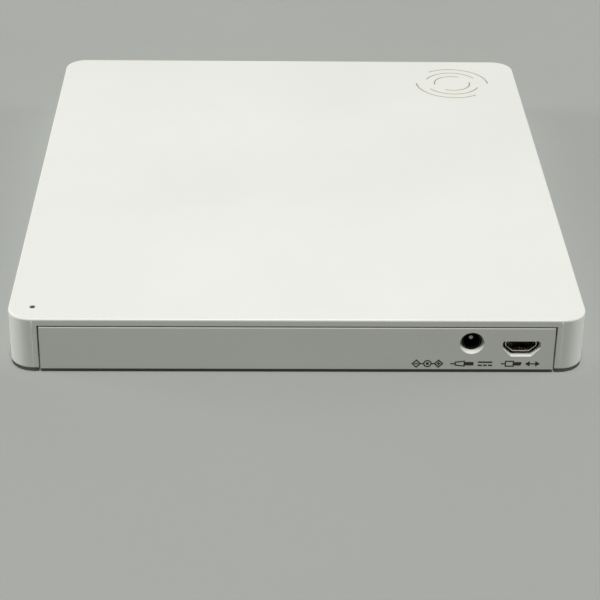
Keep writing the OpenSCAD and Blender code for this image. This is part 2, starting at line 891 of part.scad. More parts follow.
// chips on the drive's board
module main_chips() {
    color([0.10, 0.10, 0.11]) {
        chip(main_x + 9, main_front + 20, main_top, 12, 12, 0.9);
        chip(main_x + 8, main_front + 38, main_top, 8, 8, 0.9);
        chip(main_x + 16.5, main_front + 34.5, main_top, 3, 3, 0.8);
    }
}

// socket on the drive's board that takes the ribbon
module flex_connector() {
    color([0.85, 0.82, 0.72]) {
        box([main_x - 6, flex_front, z_pan + flex_t], [main_x, flex_front + 12, main_top + 0.6]);
    }
}

// plug at the rear of the drive
module drive_connector() {
    color([0.14, 0.14, 0.15]) {
        box([main_x, drive_rear - 3, main_top], [main_x + plug_w, drive_rear + 2, plug_top]);
    }
}

// leaf spring that kicks the tray out
module kick_spring() {
    color([0.66, 0.67, 0.68]) {
        wall = drive_rear - sheet_t;
        translate([0, 0, z_deck_under + 0.1]) linear_extrude(spring_h) polygon([
            [spring_far, wall], [spring_far, wall - spring_t], [spring_far + 4, wall - spring_t],
            [spring_near - 2, tray_rear], [spring_near, tray_rear], [spring_near, tray_rear + spring_t],
            [spring_near - 1.8, tray_rear + spring_t], [spring_far + 4.2, wall]]);
    }
}

// post on the case that the tray's latch catches
module latch_post() {
    color([0.62, 0.63, 0.64]) {
        translate([post_at[0], post_at[1], z_pan]) cylinder(r = 1.1, h = 2.2);
        translate([post_at[0], post_at[1], z_pan]) cylinder(r = 1.9, h = 0.4);
    }
}

// ribbon cable between the tray and the drive's board
module tray_flex() {
    color([0.72, 0.45, 0.20]) {
        box([flex_x, flex_front, z_pan], [flex_x + flex_w, flex_bend, z_pan + flex_t]);
        box([flex_x + flex_w - eps, flex_front + 1, z_pan], [main_x - 0.5, flex_front + 11, z_pan + flex_t]);
        box([flex_x, flex_bend - flex_fixed, flex_top - flex_t], [flex_x + flex_w, flex_bend, flex_top]);
        translate([flex_x, flex_bend, (z_pan + flex_top) / 2]) rotate([0, 90, 0])
            linear_extrude(flex_w) difference() {
            circle((flex_top - z_pan) / 2);
            circle((flex_top - z_pan) / 2 - flex_t);
            translate([-5, -10]) square([10, 10]);
        }
    }
}

// one slide rail on the right
module slide_rail() {
    difference() {
        box([rail_x, rail_front, rail_z - rail_t], [rail_x + rail_w, rail_front + rail_l, rail_z]);
        box([rail_x + rail_edge, rail_front + rail_stop, rail_z - rail_t - 1],
            [rail_x + rail_w - rail_edge, rail_front + rail_l - rail_stop, rail_z - rail_t + rail_groove]);
    }
}

// slide rail on the left
module left_rail() {
    color([0.68, 0.69, 0.70]) mirror([1, 0, 0]) slide_rail();
}

// slide rail on the right
module right_rail() {
    color([0.68, 0.69, 0.70]) slide_rail();
}

// places a piece in the traverse's own frame: x runs outward along the lens path
module at_traverse() {
    translate([0, hub_y, 0]) rotate([0, 0, sled_angle]) children();
}

// outline of the traverse, grown by g
module traverse_outline(g) {
    circle(trav_hub_r + g);
    polygon([[0, -trav_near - g], [trav_end - near_cut[0] + g / 2, -trav_near - g],
        [trav_end + g, -trav_near + near_cut[1] - g / 2], [trav_end + g, trav_far - far_cut[1] + g / 2],
        [trav_end - far_cut[0] + g / 2, trav_far + g], [0, trav_far + g]]);
}

// tray that carries the disc
module disc_tray() {
    color([0.12, 0.12, 0.13]) {
        difference() {
            union() {
                tray_shell();
                translate([0, hub_y, z_deck - eps]) difference() {
                    cylinder(r = ring_r + ring_w, h = ring_h + eps);
                    translate([0, 0, -1]) cylinder(r = ring_r, h = 3);
                }
            }
            at_traverse() translate([0, 0, z_deck_under - 1]) linear_extrude(10) traverse_outline(tray_cut);
        }
    }
}

// tray before the opening for the traverse is cut
module tray_shell() {
    difference() {
        union() {
            translate([0, (tray_front + tray_rear) / 2, z_deck_under]) linear_extrude(z_rim - z_deck_under)
                round_rect(2 * tray_x, tray_rear - tray_front, tray_corner);
            both_sides() box([block_in, tray_front + 0.5, rail_z - rail_t - block_lip],
                [tray_x, tray_rear - 2, z_deck]);
            at_traverse() {
                for (p = ear_at) {
                    translate([p[0], p[1], ear_top + bush_t])
                        cylinder(r = bush_r, h = z_deck_under - ear_top - bush_t + eps);
                }
            }
            translate([latch_x, latch_y, z_frame + 0.1])
                cylinder(r = latch_pin_r, h = z_deck_under - z_frame);
            for (x = [window_x - 1.5, button_x + 9.5]) {
                translate([x, tray_front + 8.2, z_frame_top])
                    cylinder(r = 1.3, h = z_deck_under - z_frame_top + eps);
            }
        }
        translate([0, hub_y, z_deck]) cylinder(r = recess_r, h = 10);
        both_sides() box([rail_x - rail_gap, tray_front - 1, rail_z - rail_t - rail_gap],
            [tray_x + 1, tray_rear + 1, rail_z + rail_gap]);
        both_sides() translate([finger_x, hub_y - finger_back, z_deck]) cylinder(r = finger_r, h = 10);
        at_traverse() {
            for (p = ear_at) {
                translate([p[0], p[1], ear_top])
                    cylinder(r = ear_screw_r + screw_gap, h = z_deck_under - ear_top + 0.3);
            }
        }
        both_sides() translate([corner_dip_x, tray_rear - 2 * corner_dip_r, z_deck])
            cylinder(r = corner_dip_r, h = 10);
    }
}

// white front of the tray
module tray_bezel() {
    color([0.93, 0.93, 0.91]) {
        difference() {
            union() {
                translate([0, tray_front, (bezel_z + bezel_top) / 2]) rotate([90, 0, 0])
                    soft_slab(bezel_w, bezel_h, bezel_t, bezel_corner, edge_r, bezel_back_r);
                for (x = clip_at) {
                    box([x, tray_front - eps, z_deck_under - clip_t],
                        [x + clip_w, tray_front + clip_l, z_deck_under]);
                }
            }
            translate([button_x, tray_front + 1, button_z]) rotate([90, 0, 0]) linear_extrude(bezel_t + 2)
                round_rect(button_w + 2 * button_gap, button_h + 2 * button_gap,
                    button_h / 2 + button_gap - eps);
            translate([window_x, tray_front + 1, button_z]) rotate([90, 0, 0])
                cylinder(r = window_r + window_gap, h = bezel_t + 2);
            translate([pin_hole_x, tray_front + 1, button_z]) rotate([90, 0, 0])
                cylinder(r = pin_hole_r, h = bezel_t + 2);
        }
    }
}

// small window of the activity light
module activity_lens() {
    color([0.80, 0.82, 0.80]) {
        translate([window_x, tray_front, button_z]) rotate([90, 0, 0])
            cylinder(r = window_r, h = bezel_t - 0.1);
    }
}

// board behind the bezel with the eject switch
module switch_board() {
    color([0.06, 0.30, 0.20]) {
        box([window_x - 4, tray_front + 0.8, z_frame_top - 0.5],
            [button_x + 11, tray_front + 10, z_frame_top]);
    }
}

// push switch behind the eject button
module eject_switch() {
    color([0.20, 0.20, 0.21]) {
        box([button_x - switch_w / 2, switch_y, z_frame_top],
            [button_x + switch_w / 2, switch_y + switch_l, z_deck_under - 0.1]);
        translate([button_x, switch_y + 0.1, button_z - 0.5]) rotate([90, 0, 0])
            cylinder(r = 0.6, h = plunger_l + 0.1);
    }
}

// activity light on the switch board
module activity_led() {
    color([0.92, 0.92, 0.80]) {
        box([window_x - 0.8, tray_front + 0.8, z_frame_top],
            [window_x + 0.8, tray_front + 1.8, button_z + 0.4]);
    }
}

// magnet that releases the latch
module latch_solenoid() {
    color([0.58, 0.55, 0.50]) {
        box([latch_x - 17, latch_y - 3.2, z_frame + 0.2], [latch_x - 5.4, latch_y + 3.2, z_deck_under]);
    }
}

// latch lever, drawn released
module latch_lever() {
    color([0.80, 0.78, 0.70]) {
        difference() {
            translate([latch_x, latch_y, latch_z]) linear_extrude(lever_t) {
                circle(lever_r);
                polygon([[-1.6, 0], [1.4, 0], [0.4, lever_l], [-1.9, lever_l]]);
                translate([-1.9, lever_l - hook_l]) square([4.5, hook_l]);
                translate([-lever_r - 2, -1]) square([4, 2]);
            }
            translate([latch_x, latch_y, z_frame - 1]) cylinder(r = latch_pin_r + pivot_gap, h = 5);
        }
    }
}

// eject button in the bezel
module eject_button() {
    color([0.93, 0.93, 0.91]) {
        translate([button_x, tray_front - button_back, button_z]) rotate([90, 0, 0])
            linear_extrude(bezel_t - button_back - button_sink)
                round_rect(button_w, button_h, button_h / 2 - eps);
        box([button_x - stem_w / 2, tray_front - button_back - 0.1, button_z - 1.3],
            [button_x + stem_w / 2, switch_y - plunger_l - button_travel - stem_gap, button_z + 0.2]);
    }
}

// sheet frame under the tray that carries the motors and the shafts
module traverse_frame() {
    color([0.60, 0.61, 0.62]) {
        at_traverse() difference() {
            union() {
                translate([0, 0, z_frame]) linear_extrude(frame_t) traverse_outline(0);
                for (s = [-1, 1]) {
                    for (u = [shaft_in - shaft_hold, shaft_out - shaft_hold]) {
                        box([u, s * shaft_v - hold_half, z_frame_top - 0.2],
                            [u + shaft_hold, s * shaft_v + hold_half, sled_top]);
                    }
                }
                box([screw_out, screw_v - 1.4, z_frame_top - 0.2],
                    [screw_out + 1.5, screw_v + 1.4, sled_top]);
                for (p = ear_at) {
                    translate([p[0], p[1], ear_z - 0.2]) rotate([0, 0, p[2]]) linear_extrude(frame_t + 0.2) {
                        circle(ear_r);
                        translate([0, -ear_r]) square([p[3], 2 * ear_r]);
                    }
                }
            }
            box([shaft_in, -sled_v - 0.4, z_frame - 1],
                [shaft_out - shaft_hold, sled_v + 0.4, z_frame_top + 0.1]);
            box([motor_u - 0.3, screw_v - motor_r - 0.2, z_frame - 1],
                [motor_u + motor_l + 0.3, screw_v + motor_r + 0.2, z_frame_top + 0.3]);
            translate([0, 0, z_frame - 1]) cylinder(r = 3, h = 3);
            for (s = [-1, 1]) {
                translate([shaft_in - 1.5, s * shaft_v, shaft_z]) rotate([0, 90, 0])
                    cylinder(d = shaft_d + 0.04, h = shaft_out - shaft_in + 1);
            }
            translate([screw_out - 1, screw_v, shaft_z]) rotate([0, 90, 0])
                cylinder(r = pivot_r + screw_gap, h = 2.4);
            for (p = ear_at) {
                translate([p[0], p[1], z_frame - 1]) cylinder(r = ear_hole_r, h = 4);
                translate([p[0], p[1], z_frame - 1]) cylinder(r = ear_head_r + 0.1, h = ear_z - z_frame + 1);
            }
        }
    }
}

// bright plate round the hub with the slot for the lens
module traverse_cover() {
    color([0.80, 0.80, 0.79]) {
        at_traverse() difference() {
            union() {
                translate([0, 0, z_cover]) linear_extrude(cover_t) traverse_outline(0);
                for (p = cover_posts) {
                    translate([p[0], p[1], z_frame_top])
                        cylinder(r = cover_post_r, h = z_cover - z_frame_top + eps);
                }
            }
            translate([0, 0, z_cover - 1]) cylinder(r = can_r + 0.7, h = 3);
            translate([0, 0, z_cover - 1]) linear_extrude(3) hull() {
                translate([lens_park - 2.5, 0]) circle(holder_v + holder_gap + slot_room, $fn = 64);
                translate([lens_park + sled_travel - 1, 0]) circle(holder_v + holder_gap + slot_room, $fn = 64);
            }
        }
    }
}

// three screws that hang the traverse under the tray
module traverse_screws() {
    color([0.50, 0.51, 0.52]) {
        at_traverse() {
            for (p = ear_at) {
                translate([p[0], p[1], ear_z - 0.5]) cylinder(r = ear_head_r, h = 0.5);
                translate([p[0], p[1], ear_z - 0.1])
                    cylinder(r = ear_screw_r, h = z_deck_under - ear_z + 0.2);
            }
        }
    }
}

// three rubber bushes between the traverse and the tray
module damper_bushes() {
    color([0.10, 0.10, 0.10]) {
        at_traverse() {
            for (p = ear_at) {
                translate([p[0], p[1], ear_top]) difference() {
                    cylinder(r = bush_r, h = bush_t);
                    translate([0, 0, -1]) cylinder(r = ear_hole_r, h = 3);
                }
            }
        }
    }
}

// two steel shafts that guide the pickup
module guide_shafts() {
    color([0.82, 0.82, 0.82]) {
        at_traverse() {
            for (s = [-1, 1]) {
                translate([shaft_in - 1.5, s * shaft_v, shaft_z]) rotate([0, 90, 0])
                    cylinder(d = shaft_d, h = shaft_out - shaft_in + 1);
            }
        }
    }
}

// small flat motor that turns the lead screw
module sled_motor() {
    color([0.62, 0.62, 0.61]) {
        at_traverse() difference() {
            intersection() {
                translate([motor_u, screw_v, shaft_z]) rotate([0, 90, 0]) cylinder(r = motor_r, h = motor_l);
                box([motor_u - 1, screw_v - motor_r, z_frame + 0.1],
                    [motor_u + motor_l + 1, screw_v + motor_r, sled_top]);
            }
            translate([screw_in - 2, screw_v, shaft_z]) rotate([0, 90, 0])
                cylinder(r = pivot_r + screw_gap, h = 4);
        }
    }
}

// lead screw that drives the pickup
module lead_screw() {
    color([0.74, 0.74, 0.75]) {
        at_traverse() {
            translate([screw_in + 0.2, screw_v, shaft_z]) rotate([0, 90, 0])
                cylinder(d = screw_d, h = screw_out - screw_in - 0.4);
            translate([screw_in - 1.6, screw_v, shaft_z]) rotate([0, 90, 0])
                cylinder(r = pivot_r, h = screw_out - screw_in + 2.8);
        }
    }
}

// fixed part of the spindle motor
module spindle_motor() {
    color([0.55, 0.56, 0.56]) {
        translate([0, hub_y, 0]) difference() {
            union() {
                translate([0, 0, z_motor]) cylinder(r = 11.4, h = 0.4);
                translate([0, 0, z_motor]) cylinder(r = 2.4, h = 2);
                translate([0, 0, z_motor]) cylinder(r = 8, h = 1.8);
            }
            translate([0, 0, z_motor + 0.4]) cylinder(r = shaft_r + screw_gap, h = 5);
        }
    }
}

// turntable with its rotor and the hub that centres the disc
module turntable() {
    color([0.20, 0.20, 0.21]) {
        translate([0, hub_y, 0]) difference() {
            union() {
                translate([0, 0, z_motor + 0.5]) cylinder(r = shaft_r, h = z_table - z_motor);
                difference() {
                    translate([0, 0, z_can]) cylinder(r = can_r, h = z_table - z_can + 0.1);
                    translate([0, 0, z_can - 1]) cylinder(r = can_r - can_t, h = z_table - z_can + 0.3);
                }
                translate([0, 0, z_table]) cylinder(d = table_d, h = table_t);
                translate([0, 0, z_seat - 0.1]) cylinder(d = hub_d, h = z_disc + hub_straight - z_seat + 0.1);
                translate([0, 0, z_disc + hub_straight])
                    cylinder(r1 = hub_d / 2, r2 = hub_d / 2 - hub_taper, h = hub_h - hub_straight);
            }
            for (a = [90, 210, 330]) {
                rotate([0, 0, a]) box([claw_in - claw_travel - claw_room,
                    -claw_w / 2 - claw_gap, claw_z - claw_gap],
                    [hub_d, claw_w / 2 + claw_gap, claw_z + claw_h + claw_gap]);
            }
            translate([0, 0, z_hub - 0.6]) cylinder(r = 2.2, h = 2);
        }
    }
}

// rubber ring that grips the disc
module turntable_pad() {
    color([0.30, 0.30, 0.31]) {
        translate([0, hub_y, z_seat]) difference() {
            cylinder(r = table_d / 2 - pad_edge, h = pad_t);
            translate([0, 0, -1]) cylinder(r = table_d / 2 - pad_edge - pad_w, h = 3);
        }
    }
}

// one hub claw, in the direction of a
module hub_claw(a) {
    color([0.78, 0.78, 0.74]) {
        translate([0, hub_y, 0]) rotate([0, 0, a]) translate([0, claw_w / 2, claw_z]) rotate([90, 0, 0])
            linear_extrude(claw_w) polygon([[claw_in, 0], [hub_d / 2 - 0.1, 0], [hub_d / 2 + claw_proud, 0.7],
                [hub_d / 2 - 0.1, claw_h - 0.2], [hub_d / 2 - 0.9, claw_h], [claw_in, claw_h]]);
    }
}

// rear hub claw
module hub_claw_a() {
    hub_claw(90);
}

// left hub claw
module hub_claw_b() {
    hub_claw(210);
}

// right hub claw
module hub_claw_c() {
    hub_claw(330);
}

// pickup that carries the lens along the shafts
module pickup_sled() {
    color([0.30, 0.30, 0.32]) {
        at_traverse() difference() {
            union() {
                box([lens_park - sled_back, -sled_v, sled_z + 0.25],
                    [lens_park + sled_fore, sled_v, sled_top]);
                box([lens_park - sled_back + 2, -9, sled_z], [lens_park + sled_fore - 1, 9, sled_top]);
            }
            box([lens_park - holder_u - holder_gap, -holder_v - holder_gap, sled_z - 1],
                [lens_park + holder_u + holder_gap, holder_v + holder_gap, sled_top + 1]);
            for (s = [-1, 1]) {
                translate([lens_park - sled_back - 1, s * shaft_v, shaft_z]) rotate([0, 90, 0])
                    cylinder(d = shaft_d + 2 * bore_gap, h = sled_back + sled_fore + 2);
                box([lens_park - 6, s * shaft_v - 2.2, sled_z - 1],
                    [lens_park, s * shaft_v + 2.2, sled_top + 1]);
            }
        }
    }
}

// toothed arm of the pickup that follows the lead screw
module screw_follower() {
    color([0.86, 0.85, 0.80]) {
        at_traverse() box([lens_park - 7, sled_v, shaft_z - 0.7],
            [lens_park - 3, screw_v - screw_d / 2 - 0.3, shaft_z + 0.7]);
    }
}

// holder in which the lens floats
module lens_holder() {
    color([0.09, 0.09, 0.10]) {
        at_traverse() difference() {
            box([lens_park - holder_u, -holder_v, sled_z + 2 * lens_travel],
                [lens_park + holder_u, holder_v, holder_top]);
            translate([lens_park, 0, sled_z]) cylinder(d = lens_d - 2 * lens_rim, h = 6);
            translate([lens_park, 0, holder_top - lens_sink]) cylinder(d = lens_d, h = 6);
        }
    }
}

// objective lens
module objective_lens() {
    color([0.45, 0.55, 0.68]) {
        at_traverse() translate([lens_park, 0, holder_top - lens_sink]) {
            cylinder(d = lens_d, h = 0.5);
            intersection() {
                translate([0, 0, 0.95 - 4]) sphere(r = 4);
                cylinder(d = lens_d - lens_rim, h = 2);
            }
        }
    }
}

top_cover();
base_cover();
rubber_feet();
case_screws();
foam_pads();
light_pipe();
status_led();
port_board();
board_chips();
board_screws();
dc_jack();
dc_jack_pin();
usb_socket();
usb_tongue();
bridge_connector();
drive_chassis();
drive_lid();
lid_screws();
rail_guides();
main_board();
main_chips();
flex_connector();
drive_connector();
kick_spring();
latch_post();
tray_flex();
left_rail();
right_rail();
disc_tray();
tray_bezel();
activity_lens();
switch_board();
eject_switch();
activity_led();
latch_solenoid();
latch_lever();
eject_button();
traverse_frame();
traverse_cover();
traverse_screws();
damper_bushes();
guide_shafts();
sled_motor();
lead_screw();
spindle_motor();
turntable();
turntable_pad();
hub_claw_a();
hub_claw_b();
hub_claw_c();
pickup_sled();
screw_follower();
lens_holder();
objective_lens();
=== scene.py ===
# %% [markdown]
# # An external disc drive in a white housing
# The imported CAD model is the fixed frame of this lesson: every solid already has its real size and
# place, in metres. The cells below give each piece its finish, replace the soft and the threaded
# solids with modelled meshes, and add the small things that the CAD leaves out.

# %% Load the frame
import json
import math
import bmesh
import bpy
from mathutils import Matrix, Vector

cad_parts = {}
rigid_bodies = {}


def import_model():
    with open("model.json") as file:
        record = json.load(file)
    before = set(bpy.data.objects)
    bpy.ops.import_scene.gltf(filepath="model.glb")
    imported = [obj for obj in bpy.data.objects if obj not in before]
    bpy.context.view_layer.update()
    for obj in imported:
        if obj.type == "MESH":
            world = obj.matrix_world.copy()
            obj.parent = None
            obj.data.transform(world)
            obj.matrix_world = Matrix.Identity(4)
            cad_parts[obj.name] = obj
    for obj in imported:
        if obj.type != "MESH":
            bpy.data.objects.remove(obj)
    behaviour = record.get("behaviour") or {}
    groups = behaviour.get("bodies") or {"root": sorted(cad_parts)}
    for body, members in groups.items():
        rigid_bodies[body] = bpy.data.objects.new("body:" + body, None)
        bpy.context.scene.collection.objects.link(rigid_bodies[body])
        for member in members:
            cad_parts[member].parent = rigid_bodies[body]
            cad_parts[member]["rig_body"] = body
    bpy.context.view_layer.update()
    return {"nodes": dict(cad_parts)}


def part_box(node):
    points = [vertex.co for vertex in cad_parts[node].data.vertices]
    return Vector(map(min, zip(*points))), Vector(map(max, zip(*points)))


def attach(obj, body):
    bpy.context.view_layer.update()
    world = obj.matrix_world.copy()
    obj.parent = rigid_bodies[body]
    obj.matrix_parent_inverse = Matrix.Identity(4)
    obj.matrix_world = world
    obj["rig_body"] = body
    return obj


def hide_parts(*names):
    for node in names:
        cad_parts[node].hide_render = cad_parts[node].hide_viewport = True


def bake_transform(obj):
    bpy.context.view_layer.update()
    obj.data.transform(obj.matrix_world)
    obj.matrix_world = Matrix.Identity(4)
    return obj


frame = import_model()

MM = 0.001
scene = bpy.context.scene
nodes = frame["nodes"]

# %% [markdown]
# ## Camera
# The drive was photographed from behind and above, with its ports toward the viewer. A camera can be
# aimed with a Track To constraint, but a matrix built from three unit vectors holds the small roll of
# a hand-held picture too, and leaves no constraint on the object.

# %% Camera
FRAME_PX = 600
FOCAL_PX = 1813
SENSOR_MM = 36
CAMERA_AT = Vector((9.41, 471.73, 243.16)) * MM
LOOK_DOWN = 0.5202
YAW = 0.0253
ROLL = 0.0156

level = math.cos(LOOK_DOWN)
forward = Vector((-math.sin(YAW) * level, -math.cos(YAW) * level, -math.sin(LOOK_DOWN)))
flat_right = Vector((-math.cos(YAW), math.sin(YAW), 0))
flat_up = flat_right.cross(forward)
right = math.cos(ROLL) * flat_right + math.sin(ROLL) * flat_up
up = math.cos(ROLL) * flat_up - math.sin(ROLL) * flat_right
facing = Matrix((right, up, -forward)).transposed().to_4x4()

camera_data = bpy.data.cameras.new("camera")
camera_data.sensor_width = SENSOR_MM
camera_data.lens = FOCAL_PX / FRAME_PX * SENSOR_MM
camera = bpy.data.objects.new("camera", camera_data)
scene.collection.objects.link(camera)
camera.matrix_world = Matrix.Translation(CAMERA_AT) @ facing
scene.camera = camera
print("camera lens:", round(camera_data.lens, 1), "mm")

# %% [markdown]
# ## Finishes
# A finish is a small node tree: noise on Object coordinates shifts the colour and the roughness a
# little, and a finer noise feeds a bump, so that no surface is one flat value. Image textures would
# need UV maps, and Object coordinates stay fixed to a piece when it moves. These helpers keep each
# finish below to a few lines.

# %% Nodes and patterns
def add_node(tree, kind, inputs=None, **properties):
    """Adds a node, sets its properties, and feeds its inputs with values or with other sockets."""
    made = tree.nodes.new(kind)
    for label, value in properties.items():
        setattr(made, label, value)
    for label, value in (inputs or {}).items():
        if isinstance(value, bpy.types.NodeSocket):
            tree.links.new(value, made.inputs[label])
        else:
            made.inputs[label].default_value = value
    return made


def stretched(tree, place, scale):
    """The place, stretched along each axis, for a grain that runs one way."""
    return add_node(tree, "ShaderNodeMapping", {"Vector": place, "Scale": scale}).outputs["Vector"]


def noise(tree, place, scale, detail=2.0):
    """A noise value from 0 to 1; scale counts its grains in a metre."""
    return add_node(tree, "ShaderNodeTexNoise",
                    {"Vector": place, "Scale": scale, "Detail": detail}).outputs["Fac"]


def cells(tree, place, scale):
    """Cell distances, for foam and crystals."""
    return add_node(tree, "ShaderNodeTexVoronoi", {"Vector": place, "Scale": scale}).outputs["Distance"]


def stripes(tree, place, scale):
    """Straight bands that follow each other along X, for copper traces and conductors."""
    return add_node(tree, "ShaderNodeTexWave", {"Vector": place, "Scale": scale, "Distortion": 0.0},
                    bands_direction="X").outputs["Fac"]


print("patterns: noise, cells and stripes")


# %% Colour, gloss and relief
def start_finish(name):
    """A new material with its tree, its shader and a texture coordinate."""
    material = bpy.data.materials.new(name)
    material.use_nodes = True
    tree = material.node_tree
    shader = tree.nodes["Principled BSDF"]
    place = tree.nodes.new("ShaderNodeTexCoord").outputs["Object"]
    return material, tree, shader, place


def spread(tree, value, low, high, from_low=0.3, from_high=0.7):
    """The value moved to the range from low to high."""
    return add_node(tree, "ShaderNodeMapRange", {
        "Value": value, "From Min": from_low, "From Max": from_high,
        "To Min": low, "To Max": high}).outputs["Result"]


def tint(tree, shader, value, dark, light, from_low=0.3, from_high=0.7):
    """Colours the shader between two colours by the value."""
    ramp = add_node(tree, "ShaderNodeValToRGB", {"Fac": value})
    start, end = ramp.color_ramp.elements
    start.position, start.color = from_low, (*dark, 1)
    end.position, end.color = from_high, (*light, 1)
    tree.links.new(ramp.outputs["Color"], shader.inputs["Base Color"])


def gloss(tree, shader, value, low, high):
    """Lets the roughness run from low to high with the value."""
    tree.links.new(spread(tree, value, low, high), shader.inputs["Roughness"])


def relief(tree, shader, height, depth, strength=1.0):
    """Bumps the shader; depth is the height of the relief in metres."""
    bump = add_node(tree, "ShaderNodeBump", {"Strength": strength, "Distance": depth, "Height": height})
    tree.links.new(bump.outputs["Normal"], shader.inputs["Normal"])


def grained(name, dark, light, rough, grain, depth, cloud=40, specular=0.5):
    """Moulded plastic or rubber: clouded colour, a fine grain in the relief, and a changing gloss."""
    material, tree, shader, place = start_finish(name)
    fine = noise(tree, place, grain, 3.0)
    tint(tree, shader, noise(tree, place, cloud, 4.0), dark, light)
    gloss(tree, shader, fine, *rough)
    relief(tree, shader, fine, depth, 0.6)
    shader.inputs["Specular IOR Level"].default_value = specular
    return material


finishes = {}
print("finish helpers are ready")

# %% [markdown]
# ### Plastics
# The housing is white ABS with a satin, spark-eroded skin: no grain shows from a step away, but it
# breaks up every reflection. The tray is black with a coarser texture, and the inner mouldings are
# plain black or ivory. All of them are the same recipe with other numbers.

# %% Plastics
finishes["shell_white"] = grained(
    "satin_white_housing", dark=(0.80, 0.795, 0.765), light=(0.84, 0.835, 0.805), rough=(0.28, 0.36),
    grain=2600, depth=0.00001, cloud=18, specular=0.42)
finishes["tray_black"] = grained(
    "textured_black_tray", dark=(0.012, 0.012, 0.013), light=(0.020, 0.020, 0.021), rough=(0.48, 0.62),
    grain=2100, depth=0.00005)
finishes["black_plastic"] = grained(
    "plain_black_moulding", dark=(0.006, 0.006, 0.0065), light=(0.011, 0.011, 0.0115), rough=(0.40, 0.50),
    grain=3200, depth=0.00002, specular=0.2)
finishes["light_plastic"] = grained(
    "ivory_moulding", dark=(0.62, 0.59, 0.50), light=(0.70, 0.68, 0.60), rough=(0.34, 0.44),
    grain=2800, depth=0.00002)
print("plastics:", [material.name for material in finishes.values()])

# %% [markdown]
# ### Rubber and foam
# The feet and the disc's grip ring are soft rubber: nearly black, with a dry sheen that a high
# roughness and a grained relief give. The foam strips are full of open cells, so a Voronoi pattern
# drives their depth. The same pattern paints their colour darker where the cells sink in, as painted shade.

# %% Rubber and foam
finishes["foot_rubber"] = grained(
    "rubber_of_the_feet", dark=(0.016, 0.016, 0.017), light=(0.028, 0.028, 0.029), rough=(0.66, 0.82),
    grain=1500, depth=0.00006)
finishes["grip_rubber"] = grained(
    "rubber_of_the_disc_grip", dark=(0.030, 0.030, 0.031), light=(0.046, 0.046, 0.047), rough=(0.62, 0.78),
    grain=1700, depth=0.00005)


def foam_finish():
    material, tree, shader, place = start_finish("open_cell_foam")
    pores_and_painted_shade = cells(tree, place, 2300)
    # painted shade: the colour is darker where the relief sinks in between the cells
    tint(tree, shader, pores_and_painted_shade, (0.045, 0.045, 0.048), (0.012, 0.012, 0.013), 0.1, 0.6)
    gloss(tree, shader, pores_and_painted_shade, 0.85, 0.98)
    relief(tree, shader, pores_and_painted_shade, -0.00018)
    return material


finishes["foam"] = foam_finish()
print("soft finishes:", [finishes[slot].name for slot in ("foot_rubber", "grip_rubber", "foam")])

# %% [markdown]
# ### Metals
# The drive case is galvanised sheet with faint crystals, the socket shell and shafts are plated, and
# the screws are dull steel with turning marks. Metallic stays at 1 on the shader, and only the colour
# and roughness change over the surface. The ink of the roof mark holds a little metal powder, so it is
# made by the same function with a lower Metallic.

# %% Metals
def sheet_finish():
    material, tree, shader, place = start_finish("galvanised_sheet")
    rolled = noise(tree, stretched(tree, place, (30, 900, 30)), 2.0, 3.0)
    tint(tree, shader, cells(tree, place, 210), (0.40, 0.41, 0.42), (0.50, 0.51, 0.52), 0.1, 0.8)
    gloss(tree, shader, rolled, 0.42, 0.58)
    relief(tree, shader, rolled, 0.00002, 0.5)
    shader.inputs["Metallic"].default_value = 1
    return material


def metal_finish(name, dark, light, rough, marks, metallic=1.0):
    material, tree, shader, place = start_finish(name)
    turned = noise(tree, stretched(tree, place, (1, 1, 6)), marks, 2.0)
    tint(tree, shader, noise(tree, place, 160, 3.0), dark, light)
    gloss(tree, shader, turned, *rough)
    relief(tree, shader, turned, 0.00001, 0.4)
    shader.inputs["Metallic"].default_value = metallic
    return material


finishes["sheet_steel"] = sheet_finish()
finishes["plated_metal"] = metal_finish(
    "nickel_plate", dark=(0.60, 0.59, 0.57), light=(0.70, 0.69, 0.67), rough=(0.18, 0.30), marks=900)
finishes["screw_steel"] = metal_finish(
    "turned_screw_steel", dark=(0.34, 0.35, 0.36), light=(0.44, 0.45, 0.46), rough=(0.30, 0.46), marks=1300)
dull_nickel = metal_finish(
    "dull_nickel", dark=(0.30, 0.285, 0.225), light=(0.36, 0.345, 0.285), rough=(0.22, 0.32), marks=900)
gold_plate = metal_finish(
    "gold_contacts", dark=(0.70, 0.50, 0.18), light=(0.78, 0.58, 0.24), rough=(0.18, 0.28), marks=900)
gold_ink = metal_finish(
    "champagne_ink", dark=(0.41, 0.335, 0.145), light=(0.47, 0.395, 0.185), rough=(0.40, 0.54), marks=700,
    metallic=0.35)
print("metals:", [finishes[slot].name for slot in ("sheet_steel", "plated_metal", "screw_steel")])

# %% [markdown]
# ### Boards, ribbon, light guides and lens
# A circuit board shows its copper as faint lines under green lacquer, and a ribbon cable shows its
# conductors as stripes. A wave texture draws the lines of both. The light guides are smoked plastic and
# the lens is coated glass, so these two let light through.

# %% Boards and ribbon
def board_finish():
    material, tree, shader, place = start_finish("green_solder_mask")
    flat_place = stretched(tree, place, (1, 1, 0))
    blocks = noise(tree, flat_place, 90, 0.0)
    copper = add_node(tree, "ShaderNodeMath", {
        0: stripes(tree, flat_place, 130), 1: spread(tree, blocks, 0.0, 1.0, 0.46, 0.54)},
        operation="MULTIPLY").outputs[0]
    tint(tree, shader, copper, (0.008, 0.070, 0.036), (0.018, 0.130, 0.066), 0.45, 0.60)
    gloss(tree, shader, blocks, 0.26, 0.36)
    relief(tree, shader, copper, 0.00003, 0.6)
    return material


def ribbon_finish():
    material, tree, shader, place = start_finish("amber_ribbon")
    lines = stripes(tree, place, 160)
    tint(tree, shader, lines, (0.34, 0.15, 0.035), (0.52, 0.27, 0.07), 0.35, 0.65)
    gloss(tree, shader, noise(tree, place, 500), 0.22, 0.34)
    relief(tree, shader, lines, 0.00003, 0.6)
    return material


finishes["board_green"] = board_finish()
finishes["ribbon"] = ribbon_finish()
print("striped finishes:", finishes["board_green"].name, finishes["ribbon"].name)


